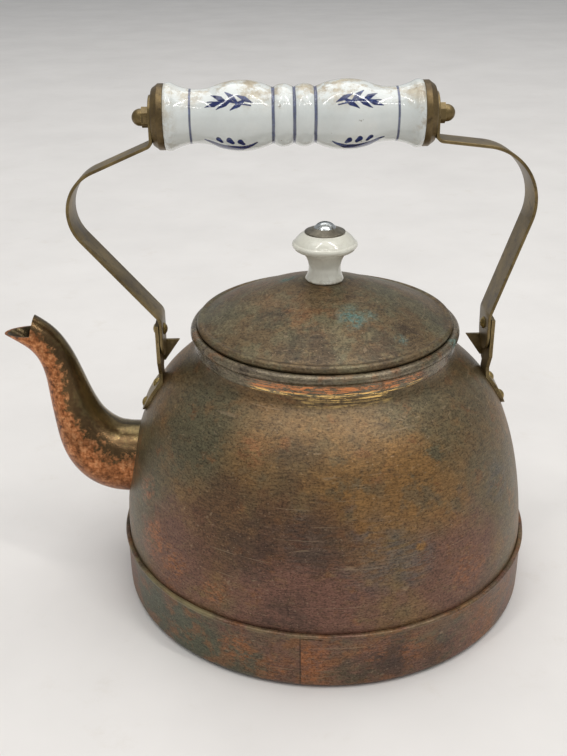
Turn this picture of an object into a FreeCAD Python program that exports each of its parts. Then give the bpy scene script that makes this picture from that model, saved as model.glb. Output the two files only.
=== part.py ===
import FreeCAD, Part
import math
import operator
import os
import Sketcher
from types import SimpleNamespace

# Driving sizes in millimetres, angles in degrees.
sizes = (
    # Copper vessel
    ("sheet", 1.0),
    ("solder_gap", 0.05),
    ("seam_gap", 0.1),
    ("body_radius", 85.9),
    ("flank_start", 24.8),
    ("flank_radius", 144.3),
    ("flank_sweep", 22.0),
    ("shoulder_radius", 48.1),
    ("neck_inset", 33.3),
    ("neck_sweep", 6.0),
    ("joint_height", 17.7),
    ("band_height", 25.7),
    ("band_edge", 3.0),
    ("band_lip", 8.0),
    ("hem_radius", 0.8),
    ("lap_width", 11.0),
    ("lap_place", 16.0),
    ("lap_rise", 0.5),
    ("pan_edge", 2.5),
    ("joggle_run", 1.6),
    # Rim
    ("rim_overhang", 0.4),
    ("rim_rise", 7.355),
    ("bead_radius", 2.0),
    ("sleeve_sheet", 0.8),
    ("sleeve_foot", 0.555),
    # Spout
    ("beak_back_out", 32.1),
    ("beak_back_height", 123.0),
    ("beak_corner_out", 34.0),
    ("beak_corner_height", 114.2),
    ("beak_tip_out", 46.4),
    ("beak_tip_height", 113.9),
    # Ears and their rivets
    ("ear_sheet", 1.4),
    ("ear_rise_angle", 40.52),
    ("ear_foot_angle", 21.0),
    ("ear_foot_width", 13.0),
    ("ear_neck_width", 9.0),
    ("ear_neck_drop", 18.5),
    ("ear_waist_drop", 24.0),
    ("ear_shoulder_drop", 12.0),
    ("ear_top", 4.0),
    ("horn_drop", 7.9),
    ("horn_length", 9.3),
    ("horn_reach", 5.5),
    ("horn_root", 0.6),
    ("stop_gap", 0.25),
    ("rivet_radius", 1.5),
    ("rivet_head", 2.3),
    ("rivet_dome", 1.2),
    ("rivet_clinch", 0.8),
    ("rivet_gap", 0.1),
    ("lower_rivet_angle", 24.5),
    ("upper_rivet_angle", 36.5),
    # Bail handle; the pivots stand above where the ears leave the dome
    ("pivot_rise", 22.38),
    ("pivot_radius", 2.0),
    ("pivot_head", 2.6),
    ("pivot_dome", 1.5),
    ("running_gap", 0.05),
    ("bail_lean", -3.0),
    ("bail_offset", -11.9),
    ("strap_width", 16.5),
    ("strap_sheet", 1.2),
    ("strap_gap", 0.3),
    ("strap_tail", 11.0),
    ("strap_top", 8.25),
    ("grip_height", 84.8),
    ("grip_half", 48.8),
    ("grip_bore", 3.0),
    ("grip_waist", 10.3),
    ("grip_hip", 11.4),
    ("grip_flare", 12.2),
    ("grip_end", 12.1),
    ("cap_length", 4.6),
    ("cap_radius", 12.3),
    ("cap_face", 10.4),
    ("cap_step", 0.5),
    ("rod_radius", 2.0),
    ("rod_gap", 0.25),
    ("nut_flats", 6.8),
    ("nut_hex", 3.0),
    ("nut_dome", 3.2),
    ("nut_length", 6.8),
    ("nut_roof", 1.7),
    # Bends of the two straps: their centres, down from the grip and out from the pivots, and the radii
    # of the faces turned outward
    ("tab_bend", 2.0),
    ("foot_bend", 4.0),
    ("foot_rise", 4.2),
    ("left_tab_drop", 7.8),
    ("left_bulge_out", 15.55),
    ("left_bulge_drop", 34.8),
    ("left_bulge_radius", 17.35),
    ("right_tab_drop", 7.0),
    ("right_bulge_out", -7.7),
    ("right_bulge_drop", 33.6),
    ("right_bulge_radius", 22.6),
    # Lid, measured from the middle of its wired edge
    ("lid_inset", 0.8),
    ("lid_wire", 1.75),
    ("lid_sheet", 0.9),
    ("lid_gap", 0.3),
    ("lid_rise", 16.8),
    ("lid_crown", 180.0),
    ("lid_seat", 8.5),
    ("lid_hem_angle", 125.0),
    ("lid_fold_angle", 165.0),
    ("skirt_gap", 0.7),
    ("skirt_depth", 9.0),
    # Knob and its screw
    ("knob_height", 19.8),
    ("knob_radius", 13.05),
    ("screw_radius", 2.45),
    ("screw_gap", 0.2),
    ("screw_head", 4.4),
    ("screw_dome", 2.3),
    ("slot_width", 1.2),
    ("slot_depth", 1.1),
    ("washer_radius", 8.1),
    ("washer_rise", 2.0),
    ("washer_edge", 0.5),
    ("nut_height", 4.0),
    ("screw_nut_flats", 9.5),
    ("overrun", 2.0),
)

# Stations of the spout's centreline, from the body to the beak: distance out from the dome's foot,
# height, slope in degrees and outside radius.
spout_stations = (
    ("base", -19.9, 55.1, 0.0, 15.2),
    ("root", -3.9, 55.1, 0.0, 15.35),
    ("sole", 5.5, 57.0, 27.4, 15.5),
    ("heel", 11.6, 62.0, 50.1, 14.4),
    ("calf", 15.7, 68.5, 64.1, 12.45),
    ("stem", 18.6, 76.3, 73.4, 10.15),
    ("neck", 21.6, 89.1, 79.1, 8.25),
    ("nape", 24.3, 100.6, 71.5, 6.95),
    ("head", 29.2, 110.1, 52.6, 6.7),
    ("beak", 37.9, 116.9, 34.0, 6.55),
    ("tip", 43.3, 120.5, 34.0, 6.5),
)

# Outline of the knob's side: shares of its largest radius and of its height, then the radius of the
# arc that starts there as a share of the height (none for a straight stretch) and its turn.
knob_shares = (
    (0.53, 0.00, 0.045, 1),
    (0.594, 0.045, 0.445, -1),
    (0.76, 0.635, 0.16, 1),
    (1.00, 0.745, 0.06, 1),
    (0.94, 0.81, 0.50, 1),
    (0.63, 1.00, None, 0),
)

# Outline of half the grip, from its middle outward: shares of the half length, named radii, then the
# radius of the arc that starts there as a share of the half length and its turn.
grip_shares = (
    (0.00, "grip_waist", 0.130, -1),
    (0.16, "grip_waist", 0.550, -1),
    (0.60, "grip_hip", 0.400, 1),
    (0.93, "grip_flare", 0.060, -1),
    (1.00, "grip_end", None, 0),
)

full_turn = 360.0
right_angle = 90.0
zero = 0

doc = FreeCAD.newDocument("Kettle")
sheet = doc.addObject("Spreadsheet::Sheet", "Sizes")
station_sizes = []
for place, out, height, slope, radius in spout_stations:
    station_sizes += [
        ("spout_" + place + "_out", out),
        ("spout_" + place + "_height", height),
        ("spout_" + place + "_slope", slope),
        ("spout_" + place + "_radius", radius),
    ]
cells = sizes + tuple(station_sizes)
for row, (alias, value) in enumerate(cells, start=1):
    sheet.set("A" + str(row), alias)
    sheet.set("B" + str(row), str(value))
    sheet.setAlias("B" + str(row), alias)
doc.recompute()

signs = {"+": operator.add, "-": operator.sub, "*": operator.mul, "/": operator.truediv}


class Size:
    """A number together with the sheet formula that gives it."""

    def __init__(self, value, formula):
        self.value = value
        self.formula = formula

    def __add__(self, other):
        return joined(self, "+", other)

    def __radd__(self, other):
        return joined(other, "+", self)

    def __sub__(self, other):
        return joined(self, "-", other)

    def __rsub__(self, other):
        return joined(other, "-", self)

    def __mul__(self, other):
        return joined(self, "*", other)

    def __rmul__(self, other):
        return joined(other, "*", self)

    def __truediv__(self, other):
        return joined(self, "/", other)

    def __neg__(self):
        return joined(-1, "*", self)


def as_size(item):
    if isinstance(item, Size):
        return item
    return Size(float(item), str(float(item)))


def joined(left, sign, right):
    left = as_size(left)
    right = as_size(right)
    formula = "(" + left.formula + " " + sign + " " + right.formula + ")"
    return Size(signs[sign](left.value, right.value), formula)


def sine(angle):
    return Size(math.sin(math.radians(angle.value)), "sin(" + angle.formula + ")")


def cosine(angle):
    return Size(math.cos(math.radians(angle.value)), "cos(" + angle.formula + ")")


def root(number):
    return Size(math.sqrt(number.value), "sqrt(" + number.formula + ")")


def leg(long_side, other_side):
    """The second short side of a right triangle."""
    return root(long_side * long_side - other_side * other_side)


dim = SimpleNamespace(**{alias: Size(value, "Sizes." + alias) for alias, value in cells})
dim.neck_radius = dim.body_radius - dim.neck_inset
dim.rim_radius = dim.neck_radius + dim.rim_overhang
dim.lid_radius = dim.rim_radius - dim.lid_inset


def bind(item, path, size):
    item.setExpression(path, as_size(size).formula)


def stand(item, base=(zero, zero, zero), axis=(1, 0, 0), angle=None):
    """Bind an object's placement: its base point and one turn about an axis."""
    turn = FreeCAD.Rotation(FreeCAD.Vector(*axis), angle.value if angle else zero)
    item.Placement = FreeCAD.Placement(FreeCAD.Vector(*(as_size(part).value for part in base)), turn)
    for letter, part in zip("xyz", base):
        if isinstance(part, Size):
            bind(item, "Placement.Base." + letter, part)
    if angle:
        item.setExpression("Placement.Rotation.Angle", angle.formula + " * 1 deg")


def plane_of(body, role):
    return next(feature for feature in body.Origin.OriginFeatures if feature.Role == role)


def new_body(label):
    body = doc.addObject("PartDesign::Body", label)
    body.Label = label
    return body


def new_sketch(body, name, role, lift=None):
    sketch = body.newObject("Sketcher::SketchObject", name)
    sketch.AttachmentSupport = (plane_of(body, role), [""])
    sketch.MapMode = "FlatFace"
    if lift:
        bind(sketch, "AttachmentOffset.Base.z", lift)
    return sketch


def arc_between(start, finish, radius, turn):
    """The short arc from start to finish; turn is 1 when it bends left, -1 when it bends right."""
    chord = finish - start
    left = FreeCAD.Vector(-chord.y, chord.x, zero).normalize()
    height = math.sqrt(radius * radius - chord.Length * chord.Length / 4)
    centre = (start + finish) / 2 + left * (height * turn)
    first, last = (start, finish) if turn > 0 else (finish, start)
    angles = [math.atan2(end.y - centre.y, end.x - centre.x) for end in (first, last)]
    return Part.ArcOfCircle(Part.Circle(centre, FreeCAD.Vector(0, 0, 1), radius), *angles)


def fix(sketch, wanted):
    """Add constraints and bind those that carry a size to the sheet."""
    places = sketch.addConstraint([constraint for constraint, size in wanted])
    for place, (constraint, size) in zip(places, wanted):
        if size is not None:
            name = sketch.Name + "_" + str(place)
            sketch.renameConstraint(place, name)
            bind(sketch, "Constraints." + name, size)


def pinned(geometry, end, across, up):
    """Constraints that hold one point of a sketch at two sizes from its origin."""
    held = []
    for kind, size, line in (("DistanceX", across, -2), ("DistanceY", up, -1)):
        if isinstance(size, Size):
            held.append((Sketcher.Constraint(kind, -1, 1, geometry, end, size.value), size))
        else:
            held.append((Sketcher.Constraint("PointOnObject", geometry, end, line), None))
    return held


def outline(sketch, corners):
    """Draw a closed outline. A corner is (across, up), or (across, up, radius, turn) when the stretch
    that starts there is an arc."""
    points = []
    for corner in corners:
        points.append(FreeCAD.Vector(as_size(corner[0]).value, as_size(corner[1]).value, zero))
    first = sketch.GeometryCount
    ends = []
    wanted = []
    for place, corner in enumerate(corners):
        start, finish = points[place], points[(place + 1) % len(points)]
        if len(corner) > 2:
            curve = arc_between(start, finish, corner[2].value, corner[3])
            ends.append((1, 2) if corner[3] > 0 else (2, 1))
            wanted.append((Sketcher.Constraint("Radius", first + place, corner[2].value), corner[2]))
        else:
            curve = Part.LineSegment(start, finish)
            ends.append((1, 2))
        sketch.addGeometry(curve, False)
    for place, corner in enumerate(corners):
        after = (place + 1) % len(corners)
        last_end, next_start = ends[place][1], ends[after][0]
        meet = Sketcher.Constraint("Coincident", first + place, last_end, first + after, next_start)
        wanted.append((meet, None))
        wanted += pinned(first + place, ends[place][0], corner[0], corner[1])
    fix(sketch, wanted)


def circle(sketch, across, up, radius):
    centre = FreeCAD.Vector(as_size(across).value, as_size(up).value, zero)
    place = sketch.addGeometry(Part.Circle(centre, FreeCAD.Vector(0, 0, 1), radius.value), False)
    sized = (Sketcher.Constraint("Radius", place, radius.value), radius)
    fix(sketch, pinned(place, 3, across, up) + [sized])


def mirrored(corners):
    flipped = []
    for corner in corners:
        across = -corner[0] if isinstance(corner[0], Size) else corner[0]
        flipped.append((across, corner[1]) + ((corner[2], -corner[3]) if len(corner) > 2 else ()))
    return flipped


def handed(corners, hand):
    return corners if hand > 0 else mirrored(corners)


def revolved(label, corners, axis="V_Axis", body=None):
    body = body or new_body(label)
    sketch = new_sketch(body, label + "_outline", "XZ_Plane")
    outline(sketch, corners)
    turned = body.newObject("PartDesign::Revolution", label + "_turn")
    turned.Profile = sketch
    turned.ReferenceAxis = (sketch, [axis])
    turned.Angle = full_turn
    return body


def padded(body, sketch, length, both_ways=False, back=False):
    pad = body.newObject("PartDesign::Pad", sketch.Name + "_pad")
    pad.Profile = sketch
    bind(pad, "Length", length)
    if both_ways:
        pad.SideType = "Symmetric"
    pad.Reversed = back
    return pad


def pocketed(body, sketch, length, back=False):
    pocket = body.newObject("PartDesign::Pocket", sketch.Name + "_pocket")
    pocket.Profile = sketch
    bind(pocket, "Length", length)
    pocket.Reversed = back
    return pocket


def boolean(kind, label, base, tool):
    made = doc.addObject("Part::" + kind, label)
    made.Base = base
    made.Tool = tool
    made.Label = label
    return made


# Shape of the dome, shared by everything that sits on it
flank_centre = dim.body_radius - dim.flank_radius
shoulder_x = flank_centre + (dim.flank_radius - dim.shoulder_radius) * cosine(dim.flank_sweep)
shoulder_z = dim.flank_start + (dim.flank_radius - dim.shoulder_radius) * sine(dim.flank_sweep)


def on_shoulder(lift, angle):
    """A point over the dome's shoulder at an angle above the level, seen from the shoulder's centre."""
    reach = dim.shoulder_radius + lift
    return shoulder_x + reach * cosine(angle), shoulder_z + reach * sine(angle)


def over_shoulder(lift, out):
    """Height of the dome's shoulder, raised by a lift, at a distance out from the axis."""
    return shoulder_z + leg(dim.shoulder_radius + lift, out - shoulder_x)


# Where the ears leave the dome, and the height of the pivots above there
dim.ear_face, ear_bend = on_shoulder(dim.solder_gap, dim.ear_rise_angle)
dim.pivot_height = ear_bend + dim.pivot_rise

# Where the shoulder sweeps up into the neck
sweep_x = dim.neck_radius + dim.neck_sweep
sweep_reach = dim.shoulder_radius + dim.neck_sweep
sweep_z = shoulder_z + leg(sweep_reach, sweep_x - shoulder_x)
dim.rim_height = sweep_z + dim.rim_rise
neck_top = dim.rim_height - leg(dim.bead_radius, dim.rim_radius - dim.neck_radius) - dim.solder_gap


def dome_side(lift):
    """The outline of the dome from its foot to the top of its neck, raised by a lift."""
    reach = (dim.shoulder_radius + lift) / sweep_reach
    hip = (shoulder_x + (sweep_x - shoulder_x) * reach, shoulder_z + (sweep_z - shoulder_z) * reach)
    return [
        (dim.body_radius + lift, dim.joint_height),
        (dim.body_radius + lift, dim.flank_start, dim.flank_radius + lift, 1),
        (*on_shoulder(lift, dim.flank_sweep), dim.shoulder_radius + lift, 1),
        (*hip, dim.neck_sweep - lift, -1),
        (dim.neck_radius + lift, sweep_z),
        (dim.neck_radius + lift, neck_top),
    ]


def reversed_row(corners):
    """The same row of corners drawn the other way."""
    row = []
    for place in range(len(corners) - 1, -1, -1):
        before = corners[place - 1] if place else ()
        bend = (before[2], -before[3]) if len(before) > 2 else ()
        row.append(corners[place][:2] + bend)
    return row


# Dome
dome_shell = revolved("dome_shell", dome_side(zero * dim.sheet) + reversed_row(dome_side(-dim.sheet)))
core_row = [(zero, dim.joint_height)] + dome_side(dim.solder_gap) + [(zero, neck_top)]
dome_core = revolved("dome_core", core_row)

# Base band with its inturned lip, hem and lapped end
band_inside = dim.body_radius + dim.seam_gap
band_outside = band_inside + dim.sheet
lip_inside = band_outside - dim.band_lip
hem_foot = dim.band_height - 2 * dim.hem_radius
base_band = revolved(
    "base_band",
    [
        (lip_inside, zero),
        (band_outside - dim.band_edge, zero, dim.band_edge, 1),
        (band_outside, dim.band_edge),
        (band_outside, hem_foot, dim.hem_radius, 1),
        (band_outside + dim.hem_radius, dim.band_height - dim.hem_radius, dim.hem_radius, 1),
        (band_outside, dim.band_height),
        (band_inside, dim.band_height),
        (band_inside, dim.band_edge, dim.band_edge - dim.sheet, -1),
        (band_outside - dim.band_edge, dim.sheet),
        (lip_inside, dim.sheet),
    ],
)
lap_sketch = new_sketch(base_band, "band_lap", "XY_Plane", dim.band_edge)
lap_inside = band_outside - dim.sheet / 2
lap_outside = band_outside + dim.lap_rise
lap_left = -dim.lap_place
lap_right = dim.lap_width - dim.lap_place
outline(
    lap_sketch,
    [
        (lap_left, -leg(lap_outside, lap_left), lap_outside, 1),
        (lap_right, -leg(lap_outside, lap_right)),
        (lap_right, -leg(lap_inside, lap_right), lap_inside, -1),
        (lap_left, -leg(lap_inside, lap_left)),
    ],
)
padded(base_band, lap_sketch, hem_foot - dim.band_edge)

# Bottom pan, pressed down in the middle so that it lies level with the band's lip
pan_floor = dim.sheet + dim.seam_gap
joggle_out = lip_inside - dim.seam_gap
joggle_in = joggle_out - dim.joggle_run
pan_bend = dim.body_radius - dim.pan_edge
bottom_pan = revolved(
    "bottom_pan",
    [
        (zero, zero),
        (joggle_in, zero),
        (joggle_out, pan_floor),
        (pan_bend, pan_floor, dim.pan_edge, 1),
        (dim.body_radius, pan_floor + dim.pan_edge),
        (dim.body_radius, dim.joint_height),
        (dim.body_radius - dim.sheet, dim.joint_height),
        (dim.body_radius - dim.sheet, pan_floor + dim.pan_edge, dim.pan_edge - dim.sheet, -1),
        (pan_bend, pan_floor + dim.sheet),
        (joggle_out - dim.sheet / 2, pan_floor + dim.sheet),
        (joggle_in - dim.sheet / 2, dim.sheet),
        (zero, dim.sheet),
    ],
)

# Rim ring: the bead on the neck with a sleeve outside it
sleeve_inside = dim.neck_radius + dim.solder_gap
sleeve_outside = sleeve_inside + dim.sleeve_sheet
neck_inside = dim.rim_radius - dim.bead_radius


def under_bead(out):
    return dim.rim_height - leg(dim.bead_radius, out - dim.rim_radius)


rim_ring = revolved(
    "rim_ring",
    [
        (sleeve_inside, sweep_z + dim.sleeve_foot),
        (sleeve_outside, sweep_z + dim.sleeve_foot),
        (sleeve_outside, under_bead(sleeve_outside), dim.bead_radius, 1),
        (dim.rim_radius + dim.bead_radius, dim.rim_height, dim.bead_radius, 1),
        (dim.rim_radius, dim.rim_height + dim.bead_radius, dim.bead_radius, 1),
        (neck_inside, dim.rim_height, dim.bead_radius, 1),
        (sleeve_inside, under_bead(sleeve_inside)),
    ],
)


# Spout: a loft through rings set square to the gooseneck's centreline
def spout_ring(place, name, trim):
    ring = doc.addObject("Part::Circle", name + "_" + place)
    bind(ring, "Radius", getattr(dim, "spout_" + place + "_radius") - trim)
    out = dim.body_radius + getattr(dim, "spout_" + place + "_out")
    height = getattr(dim, "spout_" + place + "_height")
    stand(ring, (-out, zero, height), (0, 1, 0), getattr(dim, "spout_" + place + "_slope") - right_angle)
    return ring


def spout_loft(name, trim):
    loft = doc.addObject("Part::Loft", name)
    loft.Sections = [spout_ring(station[0], name, trim) for station in spout_stations]
    loft.Solid = True
    loft.Ruled = False
    return loft


spout_outside = spout_loft("spout_outside", zero * dim.sheet)
spout_bore = spout_loft("spout_bore", dim.sheet)
beak_body = new_body("beak_cut")
beak_sketch = new_sketch(beak_body, "beak_outline", "XZ_Plane")
beak_back = -(dim.body_radius + dim.beak_back_out)
beak_corner = -(dim.body_radius + dim.beak_corner_out)
beak_tip = -(dim.body_radius + dim.beak_tip_out)
beak_far = beak_tip - 2 * dim.spout_tip_radius
beak_high = dim.beak_back_height + 2 * dim.spout_tip_radius
outline(
    beak_sketch,
    [
        (beak_back, beak_high),
        (beak_back, dim.beak_back_height),
        (beak_corner, dim.beak_corner_height),
        (beak_tip, dim.beak_tip_height),
        (beak_far, dim.beak_tip_height),
        (beak_far, beak_high),
    ],
)
padded(beak_body, beak_sketch, 4 * dim.spout_tip_radius, both_ways=True)
spout_tube = boolean("Cut", "spout_tube", spout_outside, spout_bore)
spout_seated = boolean("Cut", "spout_seated", spout_tube, dome_core)
spout = boolean("Cut", "spout", spout_seated, beak_body)
dome_pierced = boolean("Cut", "dome_pierced", dome_shell, spout_bore)


# Ears: a bent strip trimmed to the ear's outline, with the stop horn on its rear edge
ear_outside = dim.ear_face + dim.ear_sheet
foot_lift = dim.solder_gap + dim.ear_sheet
strap_half = dim.strap_width / 2
tail_centre = dim.strap_tail - strap_half
tail_drop = tail_centre * cosine(dim.bail_lean)
tail_edge = tail_centre * sine(dim.bail_lean) + leg(strap_half, dim.horn_drop - tail_drop)
horn_front = tail_edge + dim.stop_gap
horn_rear = horn_front + dim.ear_sheet
strap_face = dim.ear_face - dim.strap_gap
strap_inside = strap_face - dim.strap_sheet
ear_crown = dim.pivot_height + dim.ear_top
horn_top = dim.pivot_height - dim.horn_drop
horn_foot = horn_top - dim.horn_length
foot_low = on_shoulder(dim.solder_gap, dim.ear_foot_angle)
foot_low_outside = on_shoulder(foot_lift, dim.ear_foot_angle)
foot_half = dim.ear_foot_width / 2
neck_half = dim.ear_neck_width / 2


def ear_shape(name, hand):
    strip = new_body(name + "_strip")
    strip_sketch = new_sketch(strip, name + "_side", "XZ_Plane")
    foot_inner = dim.shoulder_radius + dim.solder_gap
    foot_outer = dim.shoulder_radius + foot_lift
    side = [
        (*foot_low, foot_inner, 1),
        (dim.ear_face, ear_bend),
        (dim.ear_face, ear_crown),
        (ear_outside, ear_crown),
        (ear_outside, over_shoulder(foot_lift, ear_outside), foot_outer, -1),
        foot_low_outside,
    ]
    outline(strip_sketch, handed(side, hand))
    padded(strip, strip_sketch, 2 * horn_rear + dim.overrun, both_ways=True)

    trim = new_body(name + "_trim")
    trim_sketch = new_sketch(trim, name + "_front", "YZ_Plane")
    foot_line = foot_low[1] + foot_half
    waist = dim.pivot_height - dim.ear_waist_drop
    neck = dim.pivot_height - dim.ear_neck_drop
    front = [
        (-foot_half, foot_line, foot_half, 1),
        (zero, foot_low[1], foot_half, 1),
        (foot_half, foot_line),
        (foot_half, waist),
        (neck_half, neck),
        (horn_rear, horn_foot),
        (horn_rear, horn_top),
        (dim.ear_top, dim.pivot_height, dim.ear_top, 1),
        (zero, ear_crown),
        (-strap_half, ear_crown),
        (-strap_half, dim.pivot_height - dim.ear_shoulder_drop),
        (-neck_half, neck),
        (-foot_half, waist),
    ]
    outline(trim_sketch, front)
    circle(trim_sketch, zero, dim.pivot_height, dim.pivot_radius + dim.running_gap)
    padded(trim, trim_sketch, 2 * dim.body_radius, both_ways=True)

    horn = new_body(name + "_horn")
    horn_sketch = new_sketch(horn, name + "_horn_side", "XZ_Plane", -horn_rear)
    wedge = [
        (ear_outside, horn_foot),
        (ear_outside, horn_top),
        (strap_inside - dim.horn_reach, horn_top),
        (dim.ear_face - dim.horn_root, horn_foot),
    ]
    outline(horn_sketch, handed(wedge, hand))
    padded(horn, horn_sketch, dim.ear_sheet)

    plate = boolean("Common", name + "_plate", strip, trim)
    return boolean("Fuse", name + "_blank", plate, horn)


def square_to_shoulder(item, hand, lift, angle):
    """Stand an object on the shoulder with its own axis square to the copper."""
    out, height = on_shoulder(lift, angle)
    stand(item, (hand * out, zero, height), (0, 1, 0), hand * (right_angle - angle))


def rivet_hole(name, hand, angle):
    hole = doc.addObject("Part::Cylinder", name)
    bind(hole, "Radius", dim.rivet_radius + dim.running_gap)
    bind(hole, "Height", foot_lift + dim.sheet + 2 * dim.overrun)
    square_to_shoulder(hole, hand, -(dim.sheet + dim.overrun), angle)
    return hole


def foot_rivet(name, hand, angle):
    grip = foot_lift + dim.sheet + dim.rivet_gap
    dome = (dim.rivet_head * dim.rivet_head + dim.rivet_dome * dim.rivet_dome) / (2 * dim.rivet_dome)
    rivet = revolved(
        name,
        [
            (zero, -(grip + dim.rivet_clinch)),
            (dim.rivet_head, -(grip + dim.rivet_clinch)),
            (dim.rivet_head, -grip),
            (dim.rivet_radius, -grip),
            (dim.rivet_radius, zero),
            (dim.rivet_head, zero, dome, 1),
            (zero, dim.rivet_dome),
        ],
    )
    square_to_shoulder(rivet, hand, foot_lift, angle)
    return rivet


def pivot_rivet(name, hand):
    dome = (dim.pivot_head * dim.pivot_head + dim.pivot_dome * dim.pivot_dome) / (2 * dim.pivot_dome)
    inner = strap_inside - dim.running_gap
    outer = ear_outside + dim.running_gap
    side = [
        (inner - dim.pivot_dome, zero),
        (outer + dim.pivot_dome, zero, dome, 1),
        (outer, dim.pivot_head),
        (outer, dim.pivot_radius),
        (inner, dim.pivot_radius),
        (inner, dim.pivot_head, dome, 1),
    ]
    rivet = revolved(name, handed(side, hand), "H_Axis")
    stand(rivet, (zero, zero, dim.pivot_height))
    return rivet


nodes = [base_band, bottom_pan, rim_ring, spout]
holes = []
for side, hand in (("left", -1), ("right", 1)):
    blank = ear_shape("ear_" + side, hand)
    angles = (("low", dim.lower_rivet_angle), ("high", dim.upper_rivet_angle))
    side_holes = [rivet_hole("hole_" + side + "_" + place, hand, angle) for place, angle in angles]
    pair = doc.addObject("Part::MultiFuse", "holes_" + side)
    pair.Shapes = side_holes
    holes.append(pair)
    rivets = doc.addObject("Part::Compound", "ear_rivets_" + side)
    rivets.Links = [foot_rivet("rivet_" + side + "_" + place, hand, angle) for place, angle in angles]
    rivets.Label = "ear_rivets_" + side
    nodes.append(boolean("Cut", "ear_" + side, blank, pair))
    nodes.append(rivets)
    nodes.append(pivot_rivet("pivot_rivet_" + side, hand))
dome_half_drilled = boolean("Cut", "dome_half_drilled", dome_pierced, holes[0])
nodes.append(boolean("Cut", "body_dome", dome_half_drilled, holes[1]))


# Bail arms: a bent strap drawn as two rows of lines and arcs that touch, then trimmed to round ends
def tangent_line(near, far):
    """Where a line that touches two circles leaves the first and meets the second. A circle is its
    centre and its distance to the left of the line."""
    gap = far[0] - near[0]
    lean = (far[1] - near[1]) / gap.Length
    along = math.sqrt(1 - lean * lean)
    run = FreeCAD.Vector(gap.x * along + gap.y * lean, gap.y * along - gap.x * lean, zero) / gap.Length
    left = FreeCAD.Vector(-run.y, run.x, zero)
    return near[0] - left * near[1], far[0] - left * far[1]


def strap_row(sketch, bends, top, tail, shift):
    """One face of the strap, from its top down to its tail. Returns the first geometry of the row."""
    circles = []
    for across, up, turn, radius in bends:
        circles.append((FreeCAD.Vector(across.value, up.value, zero), turn * radius.value - shift))
    corners = [FreeCAD.Vector(circles[0][0].x - circles[0][1], top.value, zero)]
    corners.append(FreeCAD.Vector(corners[0].x, circles[0][0].y, zero))
    for near, far in zip(circles, circles[1:]):
        corners += tangent_line(near, far)
    corners.append(FreeCAD.Vector(circles[-1][0].x - circles[-1][1], circles[-1][0].y, zero))
    corners.append(FreeCAD.Vector(corners[-1].x, tail.value, zero))
    first = sketch.GeometryCount
    for place, (start, finish) in enumerate(zip(corners, corners[1:])):
        if place % 2:
            distance = circles[place // 2][1]
            curve = arc_between(start, finish, abs(distance), math.copysign(1, distance))
        else:
            curve = Part.LineSegment(start, finish)
        sketch.addGeometry(curve, False)
    return first


def strap_ties(bends, first):
    """Tangency along one row of the strap, with both its ends upright."""
    ties = []
    for place, bend in enumerate(bends):
        line = first + 2 * place
        start, finish = (1, 2) if bend[2] > 0 else (2, 1)
        ties.append((Sketcher.Constraint("Tangent", line, 2, line + 1, start), None))
        ties.append((Sketcher.Constraint("Tangent", line + 1, finish, line + 2, 1), None))
    last = first + 2 * len(bends)
    ties.append((Sketcher.Constraint("Vertical", first), None))
    ties.append((Sketcher.Constraint("Vertical", last), None))
    return ties


def bail_arm(side, hand, tab_drop, bulge_out, bulge_drop, bulge_radius):
    name = "handle_arm_" + side
    tab_face = dim.bail_offset + hand * (dim.grip_half + dim.cap_length + dim.strap_sheet)
    bends = [
        (tab_face + hand * dim.tab_bend, dim.grip_height - tab_drop, hand, dim.tab_bend),
        (hand * (strap_face + bulge_out), dim.grip_height - bulge_drop, -hand, bulge_radius),
        (hand * (strap_face + dim.foot_bend), dim.foot_rise, hand, dim.foot_bend),
    ]
    top = dim.grip_height + dim.strap_top
    tail = -dim.strap_tail
    strip = new_body(name + "_strip")
    sketch = new_sketch(strip, name + "_side", "XZ_Plane")
    shift = -hand * dim.strap_sheet.value
    outer = strap_row(sketch, bends, top, tail, zero)
    inner = strap_row(sketch, bends, top, tail, shift)
    last = 2 * len(bends)
    wanted = strap_ties(bends, outer) + strap_ties(bends, inner)
    for place, (across, up, turn, radius) in enumerate(bends):
        outer_arc, inner_arc = outer + 2 * place + 1, inner + 2 * place + 1
        inner_radius = radius + hand * turn * dim.strap_sheet
        wanted += pinned(outer_arc, 3, across, up)
        wanted.append((Sketcher.Constraint("Coincident", inner_arc, 3, outer_arc, 3), None))
        wanted.append((Sketcher.Constraint("Radius", outer_arc, radius.value), radius))
        wanted.append((Sketcher.Constraint("Radius", inner_arc, inner_radius.value), inner_radius))
    for end, place, level in ((1, zero, top), (2, last, tail)):
        from_point = sketch.getPoint(outer + place, end)
        to_point = sketch.getPoint(inner + place, end)
        edge = sketch.addGeometry(Part.LineSegment(from_point, to_point), False)
        wanted.append((Sketcher.Constraint("Coincident", edge, 1, outer + place, end), None))
        wanted.append((Sketcher.Constraint("Coincident", edge, 2, inner + place, end), None))
        wanted.append((Sketcher.Constraint("Horizontal", edge), None))
        wanted.append((Sketcher.Constraint("DistanceY", -1, 1, outer + place, end, level.value), level))
    fix(sketch, wanted)
    padded(strip, sketch, dim.strap_width + dim.overrun, both_ways=True)

    trim = new_body(name + "_trim")
    trim_sketch = new_sketch(trim, name + "_front", "YZ_Plane")
    tail_line = -tail_centre
    top_line = top - strap_half
    outline(
        trim_sketch,
        [
            (-strap_half, tail_line, strap_half, 1),
            (zero, tail, strap_half, 1),
            (strap_half, tail_line),
            (strap_half, top_line, strap_half, 1),
            (zero, top, strap_half, 1),
            (-strap_half, top_line),
        ],
    )
    circle(trim_sketch, zero, zero, dim.pivot_radius + dim.running_gap)
    circle(trim_sketch, zero, dim.grip_height, dim.rod_radius + dim.rod_gap)
    padded(trim, trim_sketch, 4 * dim.body_radius, both_ways=True)
    arm = boolean("Common", name, strip, trim)
    stand(arm, (zero, zero, dim.pivot_height), (1, 0, 0), dim.bail_lean)
    return arm


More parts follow.
